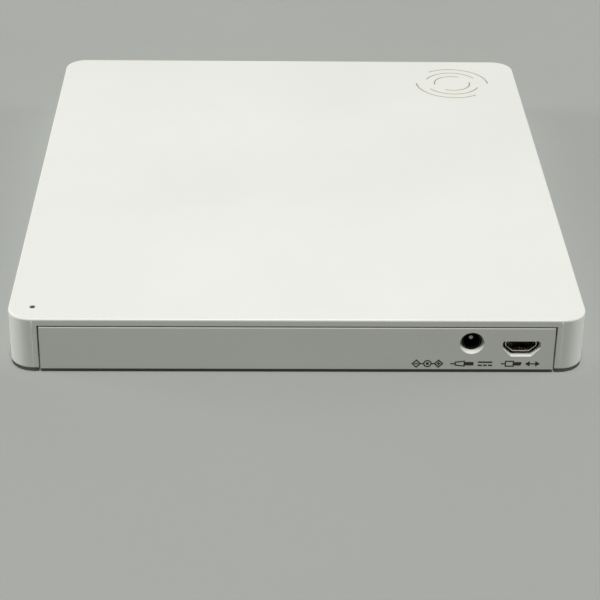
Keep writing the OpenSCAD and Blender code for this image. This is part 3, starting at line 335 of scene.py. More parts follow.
# %% Light guides and lens
def clear_finish(name, dark, light, grain, rough, transmission, ior, coat=0.0):
    """A finish that lets light through; grain counts the clouds and the gloss marks in a metre."""
    material, tree, shader, place = start_finish(name)
    clouds, marks = grain
    tint(tree, shader, noise(tree, place, clouds), dark, light)
    gloss(tree, shader, noise(tree, place, marks), *rough)
    shader.inputs["Transmission Weight"].default_value = transmission
    shader.inputs["IOR"].default_value = ior
    shader.inputs["Coat Weight"].default_value = coat
    return material


finishes["clear_plastic"] = clear_finish(
    "smoked_light_guide", dark=(0.10, 0.10, 0.105), light=(0.16, 0.16, 0.165), grain=(900, 1500),
    rough=(0.16, 0.26), transmission=0.35, ior=1.49)
finishes["lens_glass"] = clear_finish(
    "coated_lens", dark=(0.24, 0.34, 0.56), light=(0.36, 0.48, 0.72), grain=(700, 1200),
    rough=(0.03, 0.07), transmission=0.7, ior=1.53, coat=0.6)
print("finishes by slot:", len(finishes))

# %% [markdown]
# ## Dress the CAD nodes
# Each CAD node carries one material slot, named as in the record. The finish goes on the object's
# slot, so the node's mesh stays as it came.

# %% Dress the CAD nodes
packed_slot = {name: piece.material_slots[0].material.name for name, piece in nodes.items()}
for name, piece in nodes.items():
    piece.material_slots[0].material = finishes[packed_slot[name]]
print("dressed nodes:", len(packed_slot))

# %% [markdown]
# ## Round edges that shade round
# A CAD mesh is loose triangles, so its fillets and bores would shade in flat strips. A welded copy
# with smooth faces, edges kept sharp where two faces meet at an angle, and normals weighted by face
# area shades like the moulded piece, without moving a single point.

# %% Helpers for pieces
WELD = 0.000001
SHARP_ANGLE = math.radians(34)


def body_of(name):
    """The CAD body that a node rides on."""
    return nodes[name]["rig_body"]


def add_piece(name, mesh, body, slot, *replaced):
    """Links a mesh as a piece of the object, riding on a body."""
    piece = bpy.data.objects.new(name, mesh)
    scene.collection.objects.link(piece)
    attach(piece, body)
    if replaced:
        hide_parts(*replaced)
    return piece


def shade_smooth(mesh):
    """Smooth faces, with sharp edges kept where faces meet at more than the angle."""
    mesh.polygons.foreach_set("use_smooth", [True] * len(mesh.polygons))
    mesh.set_sharp_from_angle(angle=SHARP_ANGLE)


def finish_mesh(name, work, material):
    """Turns a bmesh into a named, smooth-shaded mesh with outward faces."""
    bmesh.ops.recalc_face_normals(work, faces=work.faces)
    mesh = bpy.data.meshes.new(name)
    work.to_mesh(mesh)
    work.free()
    mesh.materials.append(material)
    shade_smooth(mesh)
    return mesh


def add_modelled(name, work, body, slot, *replaced, material=None):
    """Adds a bmesh as a piece, in its slot's finish unless another material is named."""
    return add_piece(name, finish_mesh(name, work, material or finishes[slot]), body, slot, *replaced)


def welded(name):
    """A bmesh of a CAD node with its loose triangles joined."""
    work = bmesh.new()
    work.from_mesh(nodes[name].data)
    bmesh.ops.remove_doubles(work, verts=work.verts, dist=WELD)
    work.verts.index_update()
    return work


print("edges stay sharp from", round(math.degrees(SHARP_ANGLE)), "degrees on")

# %% Smooth copies of the curved nodes
CURVED = (
    "top_cover", "base_cover", "tray_bezel", "eject_button", "activity_lens", "light_pipe",
    "dc_jack", "port_board", "board_chips", "drive_chassis", "drive_lid",
    "disc_tray", "traverse_cover", "traverse_frame", "turntable", "spindle_motor", "sled_motor",
    "guide_shafts", "pickup_sled", "lens_holder", "objective_lens", "latch_lever", "latch_post",
    "eject_switch")


def smooth_copy(name):
    """A welded, smooth-shaded copy of a CAD node that stands for it."""
    work = welded(name)
    faces = [[vert.index for vert in face.verts] for face in work.faces]
    mesh = bpy.data.meshes.new(name + "_skin")
    mesh.from_pydata([vert.co for vert in work.verts], [], faces)
    work.free()
    slot = packed_slot[name]
    mesh.materials.append(finishes[slot])
    shade_smooth(mesh)
    piece = add_piece(name + "_skin", mesh, body_of(name), slot, name)
    weights = piece.modifiers.new("even_normals", "WEIGHTED_NORMAL")
    weights.keep_sharp = True
    weights.weight = 100


for name in CURVED:
    smooth_copy(name)
print("smooth copies:", len(CURVED))

# %% [markdown]
# ## Turned soft pieces
# Rubber feet, the grip ring and the bushes are all turned shapes, so one lathe function serves them:
# it spins a half-section round an upright axis. Blender's Spin or Screw tools do the same, but a loop
# over angles closes the seam and the poles without a merge.

# %% Lathe and rings
def shares(steps):
    """Even shares from 0 to 1."""
    return [k / steps for k in range(steps + 1)]


def arc(x, z, radius, start, end, steps):
    """Points on an arc of a section, angles in degrees."""
    turns = [math.radians(start + (end - start) * share) for share in shares(steps)]
    return [(x + radius * math.cos(turn), z + radius * math.sin(turn)) for turn in turns]


def circle(x, z, radius, steps):
    """Points on a whole circle."""
    return arc(x, z, radius, 0, 360, steps)[:-1]


def join_pair(work, near, far):
    """A band of faces between two rings with the same number of points."""
    for k in range(len(near)):
        n = (k + 1) % len(near)
        work.faces.new([near[k], near[n], far[n], far[k]])


def join_rings(work, rings):
    """Joins each ring to the next one, and closes both ends."""
    for near, far in zip(rings, rings[1:]):
        join_pair(work, near, far)
    work.faces.new(rings[0])
    work.faces.new(rings[-1])


def lathe(work, centre, section, steps=64):
    """Adds a turned shape to a bmesh. The section lists radius and height from bottom to top."""
    rings = []
    for radius, height in section:
        points = circle(0, 0, radius, steps) if radius > 0 else [(0, 0)]
        rings.append([work.verts.new(centre + Vector((x, y, height))) for x, y in points])
    for low, high in zip(rings, rings[1:]):
        for k in range(steps):
            n = (k + 1) % steps
            corners = [low[k % len(low)], low[n % len(low)], high[n % len(high)], high[k % len(high)]]
            face = list(dict.fromkeys(corners))
            if len(face) > 2:
                work.faces.new(face)
    return rings


def lathe_ring(work, centre, section, steps):
    """Adds a turned shape with a hole through it: its last ring is joined to its first."""
    rings = lathe(work, centre, section, steps)
    join_pair(work, rings[-1], rings[0])


print("lathe and rings are ready")


# %% Places of the CAD's solids
def islands(name):
    """The lowest and highest corner of each separate solid in a CAD node."""
    work = welded(name)
    left, found = set(work.verts), []
    while left:
        front, group = [left.pop()], []
        while front:
            vert = front.pop()
            group.append(vert.co.copy())
            for edge in vert.link_edges:
                other = edge.other_vert(vert)
                if other in left:
                    left.remove(other)
                    front.append(other)
        found.append((Vector(map(min, *group)), Vector(map(max, *group))))
    work.free()
    return sorted(found, key=lambda box: tuple(box[0]))


def seat(low, high):
    """The middle of a box's lower face."""
    return Vector(((low.x + high.x) / 2, (low.y + high.y) / 2, low.z))


print("bushes found:", len(islands("damper_bushes")))

# %% [markdown]
# ### Feet
# Each foot is a rubber button glued into a round seat. Its underside is slightly dished, so that the
# rim grips like a suction cup, and its edge is rolled. The CAD gives the places and sizes.

# %% Feet
FOOT_EDGE = 0.4 * MM
FOOT_RIM = 0.6 * MM
FOOT_DISH = 0.12 * MM
DISH_STEPS = 6

feet = bmesh.new()
for low, high in islands("rubber_feet"):
    radius = (high.x - low.x) / 2
    tall = high.z - low.z
    flat = radius - FOOT_EDGE - FOOT_RIM
    section = [(flat * share, FOOT_DISH * (1 - share * share)) for share in shares(DISH_STEPS)]
    section += arc(radius - FOOT_EDGE, FOOT_EDGE, FOOT_EDGE, -90, 0, DISH_STEPS)
    section += [(radius, tall), (0, tall)]
    lathe(feet, seat(low, high), section)
add_modelled("feet", feet, "housing", "foot_rubber", "rubber_feet")
print("feet:", len(islands("rubber_feet")))

# %% [markdown]
# ### Grip ring and bushes
# The turntable's rubber ring has fine ridges that hold the disc, and each bush of the traverse has a
# waist where the sheet-metal ear sits. Both are closed rings.

# %% Grip ring and bushes
GRIP_WIDE = 3.0 * MM
GRIP_STEPS = 96
RIDGES = 5
RIDGE_STEPS = 4 * RIDGES
RIDGE_H = 0.05 * MM
BUSH_HOLE = 0.95 * MM
BUSH_WAIST = 0.25 * MM
BUSH_STEPS = 40
WAIST_STEPS = 8

low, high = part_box("turntable_pad")
outer = (high.x - low.x) / 2
section = [(outer - GRIP_WIDE, 0), (outer, 0)]
for share in shares(RIDGE_STEPS):
    wave = 0.5 - 0.5 * math.cos(2 * math.pi * RIDGES * share)
    section.append((outer - GRIP_WIDE * share, high.z - low.z - RIDGE_H + RIDGE_H * wave))
grip_ring = bmesh.new()
lathe_ring(grip_ring, seat(low, high), section, GRIP_STEPS)
add_modelled("grip_ring", grip_ring, body_of("turntable_pad"), "grip_rubber", "turntable_pad")

bushes = bmesh.new()
for low, high in islands("damper_bushes"):
    radius = (high.x - low.x) / 2
    tall = high.z - low.z
    waist = [(radius - BUSH_WAIST * math.sin(math.pi * share), tall * share) for share in shares(WAIST_STEPS)]
    lathe_ring(bushes, seat(low, high), [(BUSH_HOLE, 0), *waist, (BUSH_HOLE, tall)], BUSH_STEPS)
add_modelled("bushes", bushes, body_of("damper_bushes"), "grip_rubber", "damper_bushes")
print("grip ring across:", round(2 * outer / MM, 1), "mm")

# %% [markdown]
# ### Foam strips
# Two strips of soft foam press the drive case down. Squeezed foam bulges at its free sides and keeps
# its flat faces where it is held, so the section is a rectangle with round, swollen sides, and the
# ends are drawn in a little.

# %% Foam strips
BULGE = 0.25 * MM
END_PARTS = 12
END_WIDTH = 0.94
END_BULGE = 0.4
SIDE_STEPS = 8
LENGTH_STEPS = 40

foam = bmesh.new()
for low, high in islands("foam_pads"):
    middle = (low + high) / 2
    half_wide = (high.x - low.x) / 2 - BULGE
    tall = high.z - low.z
    rings = []
    for share in shares(LENGTH_STEPS):
        full = math.sin(math.pi / 2 * min(1.0, END_PARTS * share, END_PARTS * (1 - share)))
        wide = half_wide * (END_WIDTH + (1 - END_WIDTH) * full)
        bulge = BULGE * (END_BULGE + (1 - END_BULGE) * full)
        y = low.y + (high.y - low.y) * share
        ring = []
        for side in (1, -1):
            for out, rise in arc(0, 0, 1, -90, 90, SIDE_STEPS):
                x = middle.x + side * (wide + bulge * out)
                ring.append(foam.verts.new((x, y, middle.z + side * tall / 2 * rise)))
        rings.append(ring)
    join_rings(foam, rings)
foam_piece = add_modelled("foam_strips", foam, "housing", "foam", "foam_pads")
print("foam strips:", len(islands("foam_pads")))

# %% [markdown]
# ## Ribbon to the tray
# A flat cable lies on the floor of the drive, turns over at the rear and runs forward again under the
# tray. When the tray slides out, the fold unrolls. Here the strip is one shape at rest: a lower run on the
# floor, a round fold, and an upper run under the tray.

# %% Ribbon to the tray
RIBBON_T = 0.15 * MM
RIBBON_W = 18 * MM
UPPER_RUN = 22 * MM
LOWER_STEPS = 20
FOLD_STEPS = 24
UPPER_STEPS = 8

low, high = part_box("tray_flex")
fold_r = (high.z - low.z - RIBBON_T) / 2
fold_y = high.y - fold_r - RIBBON_T / 2
fold_z = (low.z + high.z) / 2
lower_z, upper_z = low.z + RIBBON_T / 2, high.z - RIBBON_T / 2
path = [(low.y + (fold_y - low.y) * share, lower_z) for share in shares(LOWER_STEPS)[:-1]]
path += arc(fold_y, fold_z, fold_r, -90, 90, FOLD_STEPS)
path += [(fold_y - UPPER_RUN * share, upper_z) for share in shares(UPPER_STEPS)[1:]]

ribbon = bmesh.new()
across = Vector((RIBBON_W, 0, 0))
rows = []
for k, (y, z) in enumerate(path):
    before, after = path[max(k - 1, 0)], path[min(k + 1, len(path) - 1)]
    run = Vector((0, after[0] - before[0], after[1] - before[1])).normalized()
    normal = Vector((0, -run.z, run.y)) * RIBBON_T / 2
    spine = Vector((low.x, y, z))
    corners = (spine - normal, spine + across - normal, spine + across + normal, spine + normal)
    rows.append([ribbon.verts.new(corner) for corner in corners])
join_rings(ribbon, rows)
ribbon_piece = bpy.data.objects.new("ribbon", finish_mesh("ribbon", ribbon, finishes["ribbon"]))
scene.collection.objects.link(ribbon_piece)
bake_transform(ribbon_piece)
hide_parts("tray_flex")
print("ribbon points:", len(path))

# %% Tab of the ribbon
TAB_GAP = 1 * MM
TAB_REACH = 10 * MM

tab_low = Vector((low.x + RIBBON_W, low.y + TAB_GAP, low.z))
tab_high = Vector((high.x, low.y + TAB_GAP + TAB_REACH, low.z + RIBBON_T))
tab = bmesh.new()
bmesh.ops.create_cube(tab, size=1)
for vert in tab.verts:
    vert.co = Vector(tab_high[i] if vert.co[i] > 0 else tab_low[i] for i in range(3))
bmesh.ops.subdivide_edges(tab, edges=tab.edges, cuts=2, use_grid_fill=True)
add_modelled("ribbon_tab", tab, "housing", "ribbon")
print("ribbon tab:", round((tab_high.x - tab_low.x) / MM, 1), "mm wide")

# %% [markdown]
# ## Node trees for what repeats
# Screws, contacts, thread turns and marks repeat, so Geometry Nodes make them. Each tree has named
# inputs for its sizes and ends in Realize Instances and Set Material. The result is then copied to a
# plain mesh, because instances don't survive an export.

# %% Start, end and run of a tree
def new_tree(name, sizes, counts=()):
    """A geometry tree with named inputs, and their sockets: sizes are lengths, counts are whole numbers."""
    tree = bpy.data.node_groups.new(name, "GeometryNodeTree")
    kinds = {"Geometry": "Geometry", **dict.fromkeys(sizes, "Float"), **dict.fromkeys(counts, "Int")}
    for label, kind in kinds.items():
        tree.interface.new_socket(label, in_out="INPUT", socket_type="NodeSocket" + kind)
    tree.interface.new_socket("Geometry", in_out="OUTPUT", socket_type="NodeSocketGeometry")
    start = tree.nodes.new("NodeGroupInput")
    return tree, {label: start.outputs[label] for label in kinds}


def end_tree(tree, geometry, material):
    """Realizes the instances, sets the material and links the output."""
    real = add_node(tree, "GeometryNodeRealizeInstances", {"Geometry": geometry})
    dressed = add_node(tree, "GeometryNodeSetMaterial", {"Geometry": real.outputs[0], "Material": material})
    add_node(tree, "NodeGroupOutput", {"Geometry": dressed.outputs[0]})
    return tree


def grow(name, tree, sizes, points=()):
    """Runs a tree, on points with a turn if it needs them, and returns the plain mesh."""
    start = bpy.data.meshes.new(name + "_points")
    start.from_pydata([place for place, turn in points], [], [])
    turns = start.attributes.new("turn", "FLOAT_VECTOR", "POINT")
    for index, (place, turn) in enumerate(points):
        turns.data[index].vector = turn
    host = bpy.data.objects.new(name + "_host", start)
    scene.collection.objects.link(host)
    modifier = host.modifiers.new("grow", "NODES")
    modifier.node_group = tree
    for item in tree.interface.items_tree:
        if item.in_out == "INPUT" and item.name in sizes:
            modifier[item.identifier] = sizes[item.name]
    bpy.context.view_layer.update()
    grown = host.evaluated_get(bpy.context.evaluated_depsgraph_get())
    mesh = bpy.data.meshes.new_from_object(grown)
    host.modifiers.remove(modifier)
    bpy.data.objects.remove(host)
    mesh.name = name
    return mesh


print("trees can be started, ended and run")


# %% Forms within a tree
COIL_STEPS = 20
RIB_SIDES = 6


def maths(tree, operation, a, b):
    """A Math node; a and b are sockets or numbers."""
    return add_node(tree, "ShaderNodeMath", {0: a, 1: b}, operation=operation).outputs[0]


def times(tree, a, b):
    """The product of two sockets or numbers."""
    return maths(tree, "MULTIPLY", a, b)


def vector(tree, x, y, z):
    """A vector from sockets or numbers."""
    return add_node(tree, "ShaderNodeCombineXYZ", {"X": x, "Y": y, "Z": z}).outputs[0]


def moved(tree, geometry, **change):
    """The geometry, moved, turned or scaled."""
    return add_node(tree, "GeometryNodeTransform", {"Geometry": geometry, **change}).outputs[0]


def lifted(tree, geometry, height):
    """The geometry, moved up."""
    return moved(tree, geometry, Translation=vector(tree, 0, 0, height))


def copies(tree, points, instance, **change):
    """A copy of the instance on every point, turned or scaled."""
    inputs = {"Points": points, "Instance": instance, **change}
    return add_node(tree, "GeometryNodeInstanceOnPoints", inputs).outputs[0]


def turned_by(tree, angles):
    """A rotation from three angles."""
    return add_node(tree, "FunctionNodeEulerToRotation", {"Euler": angles}).outputs[0]


def rod(tree, radius, length, sides, height):
    """An upright cylinder with its middle at a height."""
    made = add_node(tree, "GeometryNodeMeshCylinder", {"Radius": radius, "Depth": length, "Vertices": sides})
    return lifted(tree, made.outputs["Mesh"], height)


def round_section(tree, radius, sides):
    """A circle to run along a curve."""
    return add_node(tree, "GeometryNodeCurvePrimitiveCircle",
                    {"Radius": radius, "Resolution": sides}, mode="RADIUS").outputs["Curve"]


def swept(tree, curve, section):
    """A section run along a curve, closed at both ends."""
    return add_node(tree, "GeometryNodeCurveToMesh",
                    {"Curve": curve, "Profile Curve": section, "Fill Caps": True}).outputs[0]


def coil(tree, turns, radius, height, rib):
    """A thread: a round rib wound along a spiral."""
    spiral = add_node(tree, "GeometryNodeCurveSpiral", {
        "Rotations": turns, "Start Radius": radius, "End Radius": radius, "Height": height,
        "Resolution": COIL_STEPS})
    return swept(tree, spiral.outputs[0], round_section(tree, rib, RIB_SIDES))


def joined(tree, *parts):
    """All parts as one geometry."""
    whole = add_node(tree, "GeometryNodeJoinGeometry")
    for part in parts:
        tree.links.new(part, whole.inputs[0])
    return whole.outputs[0]


print("forms: rods, coils and swept sections")

# %% [markdown]
# ### Screws
# The small screws have a round head with a cross recess and a threaded core. The tree builds one
# screw from a cylinder, a Boolean and a spiral, and sets a copy on every point, turned as the point
# says. The places come from the CAD.

# %% Tree of a screw
HEAD_SIDES, CORE_SIDES = 48, 24
BLADE_LONG, BLADE_WIDE = 0.58, 0.15
BLADE_TURNS = (math.pi / 8, math.pi * 5 / 8)
RIB_SHARE = 0.09
THREAD_SHARE = 0.95


def screw_tree(material):
    labels = ("Head diameter", "Head height", "Core diameter", "Length")
    tree, sockets = new_tree("cross_head_screw", labels, ("Turns",))
    head_d, head_h, core_d, length = (sockets[label] for label in labels)
    head = rod(tree, times(tree, head_d, 0.5), head_h, HEAD_SIDES, times(tree, head_h, 0.5))
    blade = vector(tree, times(tree, head_d, BLADE_LONG), times(tree, head_d, BLADE_WIDE), head_h)
    recess = add_node(tree, "GeometryNodeMeshBoolean", {"Mesh 1": head},
                      operation="DIFFERENCE", solver="MANIFOLD")
    for angle in BLADE_TURNS:
        cutter = add_node(tree, "GeometryNodeMeshCube", {"Size": blade}).outputs["Mesh"]
        cutter = moved(tree, cutter, Translation=vector(tree, 0, 0, head_h), Rotation=(0, 0, angle))
        tree.links.new(cutter, recess.inputs["Mesh 2"])
    core_r = times(tree, core_d, 0.5)
    rib = times(tree, core_d, RIB_SHARE)
    root_r = maths(tree, "SUBTRACT", core_r, times(tree, rib, 2))
    core = rod(tree, root_r, length, CORE_SIDES, times(tree, length, -0.5))
    coil_r = maths(tree, "SUBTRACT", core_r, rib)
    thread = coil(tree, sockets["Turns"], coil_r, times(tree, length, -THREAD_SHARE), rib)
    turn = add_node(tree, "GeometryNodeInputNamedAttribute", {"Name": "turn"}, data_type="FLOAT_VECTOR")
    spin = turned_by(tree, turn.outputs["Attribute"])
    screw = joined(tree, recess.outputs["Mesh"], core, thread)
    return end_tree(tree, copies(tree, sockets["Geometry"], screw, Rotation=spin), material)


screws = screw_tree(finishes["screw_steel"])
print("screw tree:", len(screws.nodes), "nodes")

# %% Screws
HEAD_UP = (0, 0, 0)
HEAD_DOWN = (math.pi, 0, 0)
HEAD_RIGHT = (0, math.pi / 2, 0)
HEAD_LEFT = (0, -math.pi / 2, 0)


def screw_sizes(head_d, head_h, core_d, length, turns):
    """The inputs of the screw tree, from millimetres."""
    return {"Head diameter": head_d * MM, "Head height": head_h * MM, "Core diameter": core_d * MM,
            "Length": length * MM, "Turns": turns}


def under_head(low, high, head, turn):
    """The middle of a screw's box, moved to where its head of this height ends."""
    place = (low + high) / 2
    if turn in (HEAD_UP, HEAD_DOWN):
        place.z = high.z - head if turn == HEAD_UP else low.z + head
    else:
        place.x = high.x - head if turn == HEAD_RIGHT else low.x + head
    return place


def add_screws(name, cad_node, sizes, turn=None):
    """Grows the screws of one CAD node. Without a turn, their heads face outward at both sides."""
    points = []
    for low, high in islands(cad_node):
        facing = turn or (HEAD_RIGHT if low.x + high.x > 0 else HEAD_LEFT)
        points.append((under_head(low, high, sizes["Head height"], facing), facing))
    mesh = grow(name, screws, sizes, points)
    shade_smooth(mesh)
    add_piece(name, mesh, body_of(cad_node), "screw_steel", cad_node)
    print(name, len(points), "of", len(mesh.polygons), "faces")


add_screws("housing_screws", "case_screws", screw_sizes(3.8, 0.9, 1.8, 5.4, 9), HEAD_DOWN)
add_screws("port_board_screws", "board_screws", screw_sizes(3.8, 0.9, 1.8, 2.8, 5), HEAD_UP)
add_screws("drive_lid_screws", "lid_screws", screw_sizes(2.8, 0.4, 1.4, 1.0, 2))
add_screws("traverse_hanging_screws", "traverse_screws", screw_sizes(4.0, 0.5, 1.6, 2.0, 4), HEAD_DOWN)

# %% [markdown]
# ### Lead screw
# The pickup is driven by a fine thread. The CAD holds it as a plain shaft, so the tree winds the
# thread on the same core: a spiral curve, a small round section and Curve to Mesh. The journals at
# both ends stay smooth.

# %% Tree of the lead screw
LEAD_SIDES, JOURNAL_SIDES = 32, 24
RIB_OUT = 0.98


def thread_tree(material):
    labels = ("Core diameter", "Outer diameter", "Thread length", "Thread start", "Journal diameter",
              "Journal length")
    tree, sockets = new_tree("lead_screw_thread", labels, ("Turns",))
    core_d, outer_d, thread_l, start, journal_d, journal_l = (sockets[label] for label in labels)
    rib = times(tree, maths(tree, "SUBTRACT", outer_d, core_d), 0.25)
    core_r = times(tree, core_d, 0.5)
    core = rod(tree, core_r, thread_l, LEAD_SIDES, maths(tree, "ADD", start, times(tree, thread_l, 0.5)))
    journal = rod(tree, times(tree, journal_d, 0.5), journal_l, JOURNAL_SIDES, times(tree, journal_l, 0.5))
    coil_r = maths(tree, "ADD", core_r, times(tree, rib, RIB_OUT))
    wound = lifted(tree, coil(tree, sockets["Turns"], coil_r, thread_l, rib), start)
    return end_tree(tree, joined(tree, core, journal, wound), material)


def laid(mesh, origin, along):
    """Lays a mesh that stands on the origin along a level direction."""
    side = Vector((-along.y, along.x, 0))
    turn = Matrix((side, Vector((0, 0, 1)), along)).transposed().to_4x4()
    mesh.transform(Matrix.Translation(origin) @ turn)


lead_tree = thread_tree(finishes["plated_metal"])
print("lead screw tree:", len(lead_tree.nodes), "nodes")

# %% Lead screw
JOURNAL_D = 1.0 * MM
SHOULDER = 1.8 * MM
END_GAP = 1.4 * MM
THREAD_DEEP = 0.25 * MM
PITCH = 0.9 * MM

low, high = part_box("lead_screw")
outer_d = high.z - low.z
length = (high.x - low.x) * math.sqrt(2) - JOURNAL_D
thread_l = length - SHOULDER - END_GAP
along = Vector((-1, -1, 0)).normalized()
lead_mesh = grow("lead_screw_threaded", lead_tree, {
    "Core diameter": outer_d - 2 * THREAD_DEEP, "Outer diameter": outer_d, "Thread length": thread_l,
    "Thread start": SHOULDER, "Journal diameter": JOURNAL_D, "Journal length": length,
    "Turns": round(thread_l / PITCH)})
laid(lead_mesh, (low + high) / 2 - along * length / 2, along)
shade_smooth(lead_mesh)
add_piece("lead_screw_threaded", lead_mesh, body_of("lead_screw"), "plated_metal", "lead_screw")
print("lead screw:", round(length / MM, 1), "mm long,", len(lead_mesh.polygons), "faces")

# %% [markdown]
# ### Centre pin of the power jack
# The pin is turned from brass, plated, and chamfered at its tip so that the plug slides over it. The same
# lathe makes it upright, and it is then laid along the jack's axis. Its flat end mirrors the bright floor
# as a small spot, which is all that shows of it from outside.

# %% Centre pin of the power jack
PIN_CHAMFER = 0.32 * MM

low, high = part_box("dc_jack_pin")
pin_r = (high.x - low.x) / 2
pin_l = high.y - low.y
pin_section = [(0, 0), (pin_r, 0), (pin_r, pin_l - PIN_CHAMFER), (pin_r - PIN_CHAMFER, pin_l), (0, pin_l)]
pin = bmesh.new()
lathe(pin, Vector(), pin_section)
pin_mesh = finish_mesh("jack_pin", pin, dull_nickel)
laid(pin_mesh, Vector(((low.x + high.x) / 2, low.y, (low.z + high.z) / 2)), Vector((0, 1, 0)))
add_piece("jack_pin", pin_mesh, body_of("dc_jack_pin"), packed_slot["dc_jack_pin"], "dc_jack_pin")
print("jack pin:", round(2 * pin_r / MM, 2), "mm across,", round(pin_l / MM, 2), "mm long")

# %% [markdown]
# ## Shell of the data socket
# The shell is bent from thin steel, and its mouth flares outward to lead the plug in. A loft makes it:
# one six-sided outline with round corners is repeated at several depths, first up the outside, then over
# the thin front edge and down the inside.

# %% Outline of the data socket
FOOT_SHARE = 0.27
WAIST_SHARE = 0.04
ROUND_STEPS = 5


def socket_outline(wide, tall, round_r):
    """Points of the socket's outline, flat on top and narrower below."""
    half, foot = wide / 2 - round_r, wide * FOOT_SHARE - round_r / 2
    top, waist, bottom = tall / 2 - round_r, round_r - WAIST_SHARE * tall, round_r - tall / 2
    centres = [(half, top), (-half, top), (-half, waist), (-foot, bottom), (foot, bottom), (half, waist)]
    points = []
    for k, (x, z) in enumerate(centres):
        before_x, before_z = centres[k - 1]
        next_x, next_z = centres[(k + 1) % len(centres)]
        start = math.atan2(before_x - x, z - before_z)
        end = math.atan2(x - next_x, next_z - z)
        end += 2 * math.pi if end < start else 0
        points += arc(x, z, round_r, math.degrees(start), math.degrees(end), ROUND_STEPS)
    return points


print("points of the outline:", len(socket_outline(8, 3, 0.5)))

# %% [markdown]
# Each row of the loft below holds a depth behind the mouth, how much narrower the outline is there, and
# the radius of its corners, all in millimetres.

# %% Shell of the data socket
STRAIGHT = 0.5
INSIDE = 1.05
EDGE = 0.27
LIP = 0.06
FLARE_DEEP = 0.9
BACK = 0.4

low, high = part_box("usb_socket")
middle = (low + high) / 2
mouth_w, deep, mouth_h = (high - low) / MM
sections = [
    (deep, STRAIGHT, 0.5), (FLARE_DEEP, STRAIGHT, 0.5), (LIP, 0.03, 0.6), (0, 0.08, 0.58),
    (0, 2 * EDGE - 0.05, 0.5), (LIP, 2 * EDGE, 0.48), (FLARE_DEEP, INSIDE, 0.3), (deep - BACK, INSIDE, 0.3)]
socket_shell = bmesh.new()
loops = []
for depth, less, round_r in sections:
    y = high.y - depth * MM
    outline = socket_outline(mouth_w - less, mouth_h - less, round_r)
    loops.append([socket_shell.verts.new((middle.x + x * MM, y, middle.z + z * MM)) for x, z in outline])
join_rings(socket_shell, loops)
add_modelled("data_shell", socket_shell, body_of("usb_socket"), "plated_metal", "usb_socket")
print("data shell:", round(mouth_w, 2), "by", round(mouth_h, 2), "mm at its mouth")

# %% [markdown]
# ### Contacts of the data socket
# Five gold strips lie under the socket's tongue, 0.65 mm apart, each with its nose bent up to meet the
# plug. One bent curve with a flat section makes a strip, and a line of points repeats it.

# %% Contacts of the data socket
CONTACTS = 5
CONTACT_PITCH = 0.65 * MM
CONTACT_WIDE, CONTACT_T = 0.36 * MM, 0.10 * MM
CONTACT_NOSE = 0.18 * MM
CONTACT_SHARE = 0.82
CONTACT_BACK, CONTACT_SINK = 0.2 * MM, 0.03 * MM


def contact_tree(material):
    labels = ("Pitch", "Width", "Thickness", "Length", "Nose")
    tree, sockets = new_tree("contact_row", labels, ("Count",))
    pitch, wide, thick, length, nose = (sockets[label] for label in labels)
    row = add_node(tree, "GeometryNodeMeshLine",
                   {"Count": sockets["Count"], "Offset": vector(tree, pitch, 0, 0)}, mode="OFFSET")
    bend = vector(tree, 0, length, 0)
    tip = vector(tree, 0, maths(tree, "ADD", length, nose), nose)
    section = add_node(tree, "GeometryNodeCurvePrimitiveQuadrilateral", {"Width": wide, "Height": thick})
    strips = []
    for ends in ({"End": bend}, {"Start": bend, "End": tip}):
        run = add_node(tree, "GeometryNodeCurvePrimitiveLine", ends)
        strips.append(swept(tree, run.outputs[0], section.outputs[0]))
    return end_tree(tree, copies(tree, row.outputs[0], joined(tree, *strips)), material)


low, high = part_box("usb_tongue")
contact_mesh = grow("data_contacts", contact_tree(gold_plate), {
    "Pitch": CONTACT_PITCH, "Width": CONTACT_WIDE, "Thickness": CONTACT_T,
    "Length": (high.y - low.y) * CONTACT_SHARE, "Nose": CONTACT_NOSE, "Count": CONTACTS})
first_x = (low.x + high.x) / 2 - CONTACT_PITCH * (CONTACTS - 1) / 2
contact_mesh.transform(Matrix.Translation((first_x, low.y + CONTACT_BACK, low.z - CONTACT_SINK)))
add_piece("data_contacts", contact_mesh, body_of("usb_tongue"), "plated_metal")
print("contacts:", CONTACTS)

# %% [markdown]
# ## Lines left by the mould
# The wall round the ports is moulded by a slide that draws back sideways, and the slide leaves a fine
# raised line where it met the rest of the mould. Each line is a low bead with a round section. A bump in
# the material would vanish at this size, but a real bead catches the side light.

# %% Lines left by the mould
BEAD_HALF = 0.18 * MM
BEAD_H = 0.22 * MM
BEAD_IN = 6.45 * MM
BEAD_LOW, BEAD_HIGH = 0.5 * MM, 0.7 * MM
BEAD_STEPS = 8

low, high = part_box("top_cover")
beads = bmesh.new()
for side in (1, -1):
    middle_x = side * (high.x - BEAD_IN)
    rings = []
    for z in (low.z + BEAD_LOW, high.z - BEAD_HIGH):
        ring = []
        for x, y in arc(0, 0, 1, 0, 180, BEAD_STEPS):
            ring.append(beads.verts.new((middle_x + BEAD_HALF * x, high.y + BEAD_H * y, z)))
        rings.append(ring)
    join_rings(beads, rings)
add_modelled("mould_lines", beads, "housing", "shell_white")
print("mould lines:", 2)

# %% [markdown]
# ## Print under the ports
# Pad-printed signs stand under the two ports. Each sign is a flat prism a few hundredths of a
# millimetre thick, cut from outlines in the plane of the panel. The power socket has its polarity sign
# and a plug with the direct-current sign, and the data socket has a plug with an arrow each way: plain
# signs that any maker could print. Their outlines are in millimetres to the right and up, as seen from
# behind the drive.

# %% Helpers for print
PRINT_T = 0.02 * MM
PRINT_Z = 1.0
LINE = 0.32
MID, LOW, HIGH = 1.64, 0.78, 2.54

panel_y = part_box("base_cover")[1].y


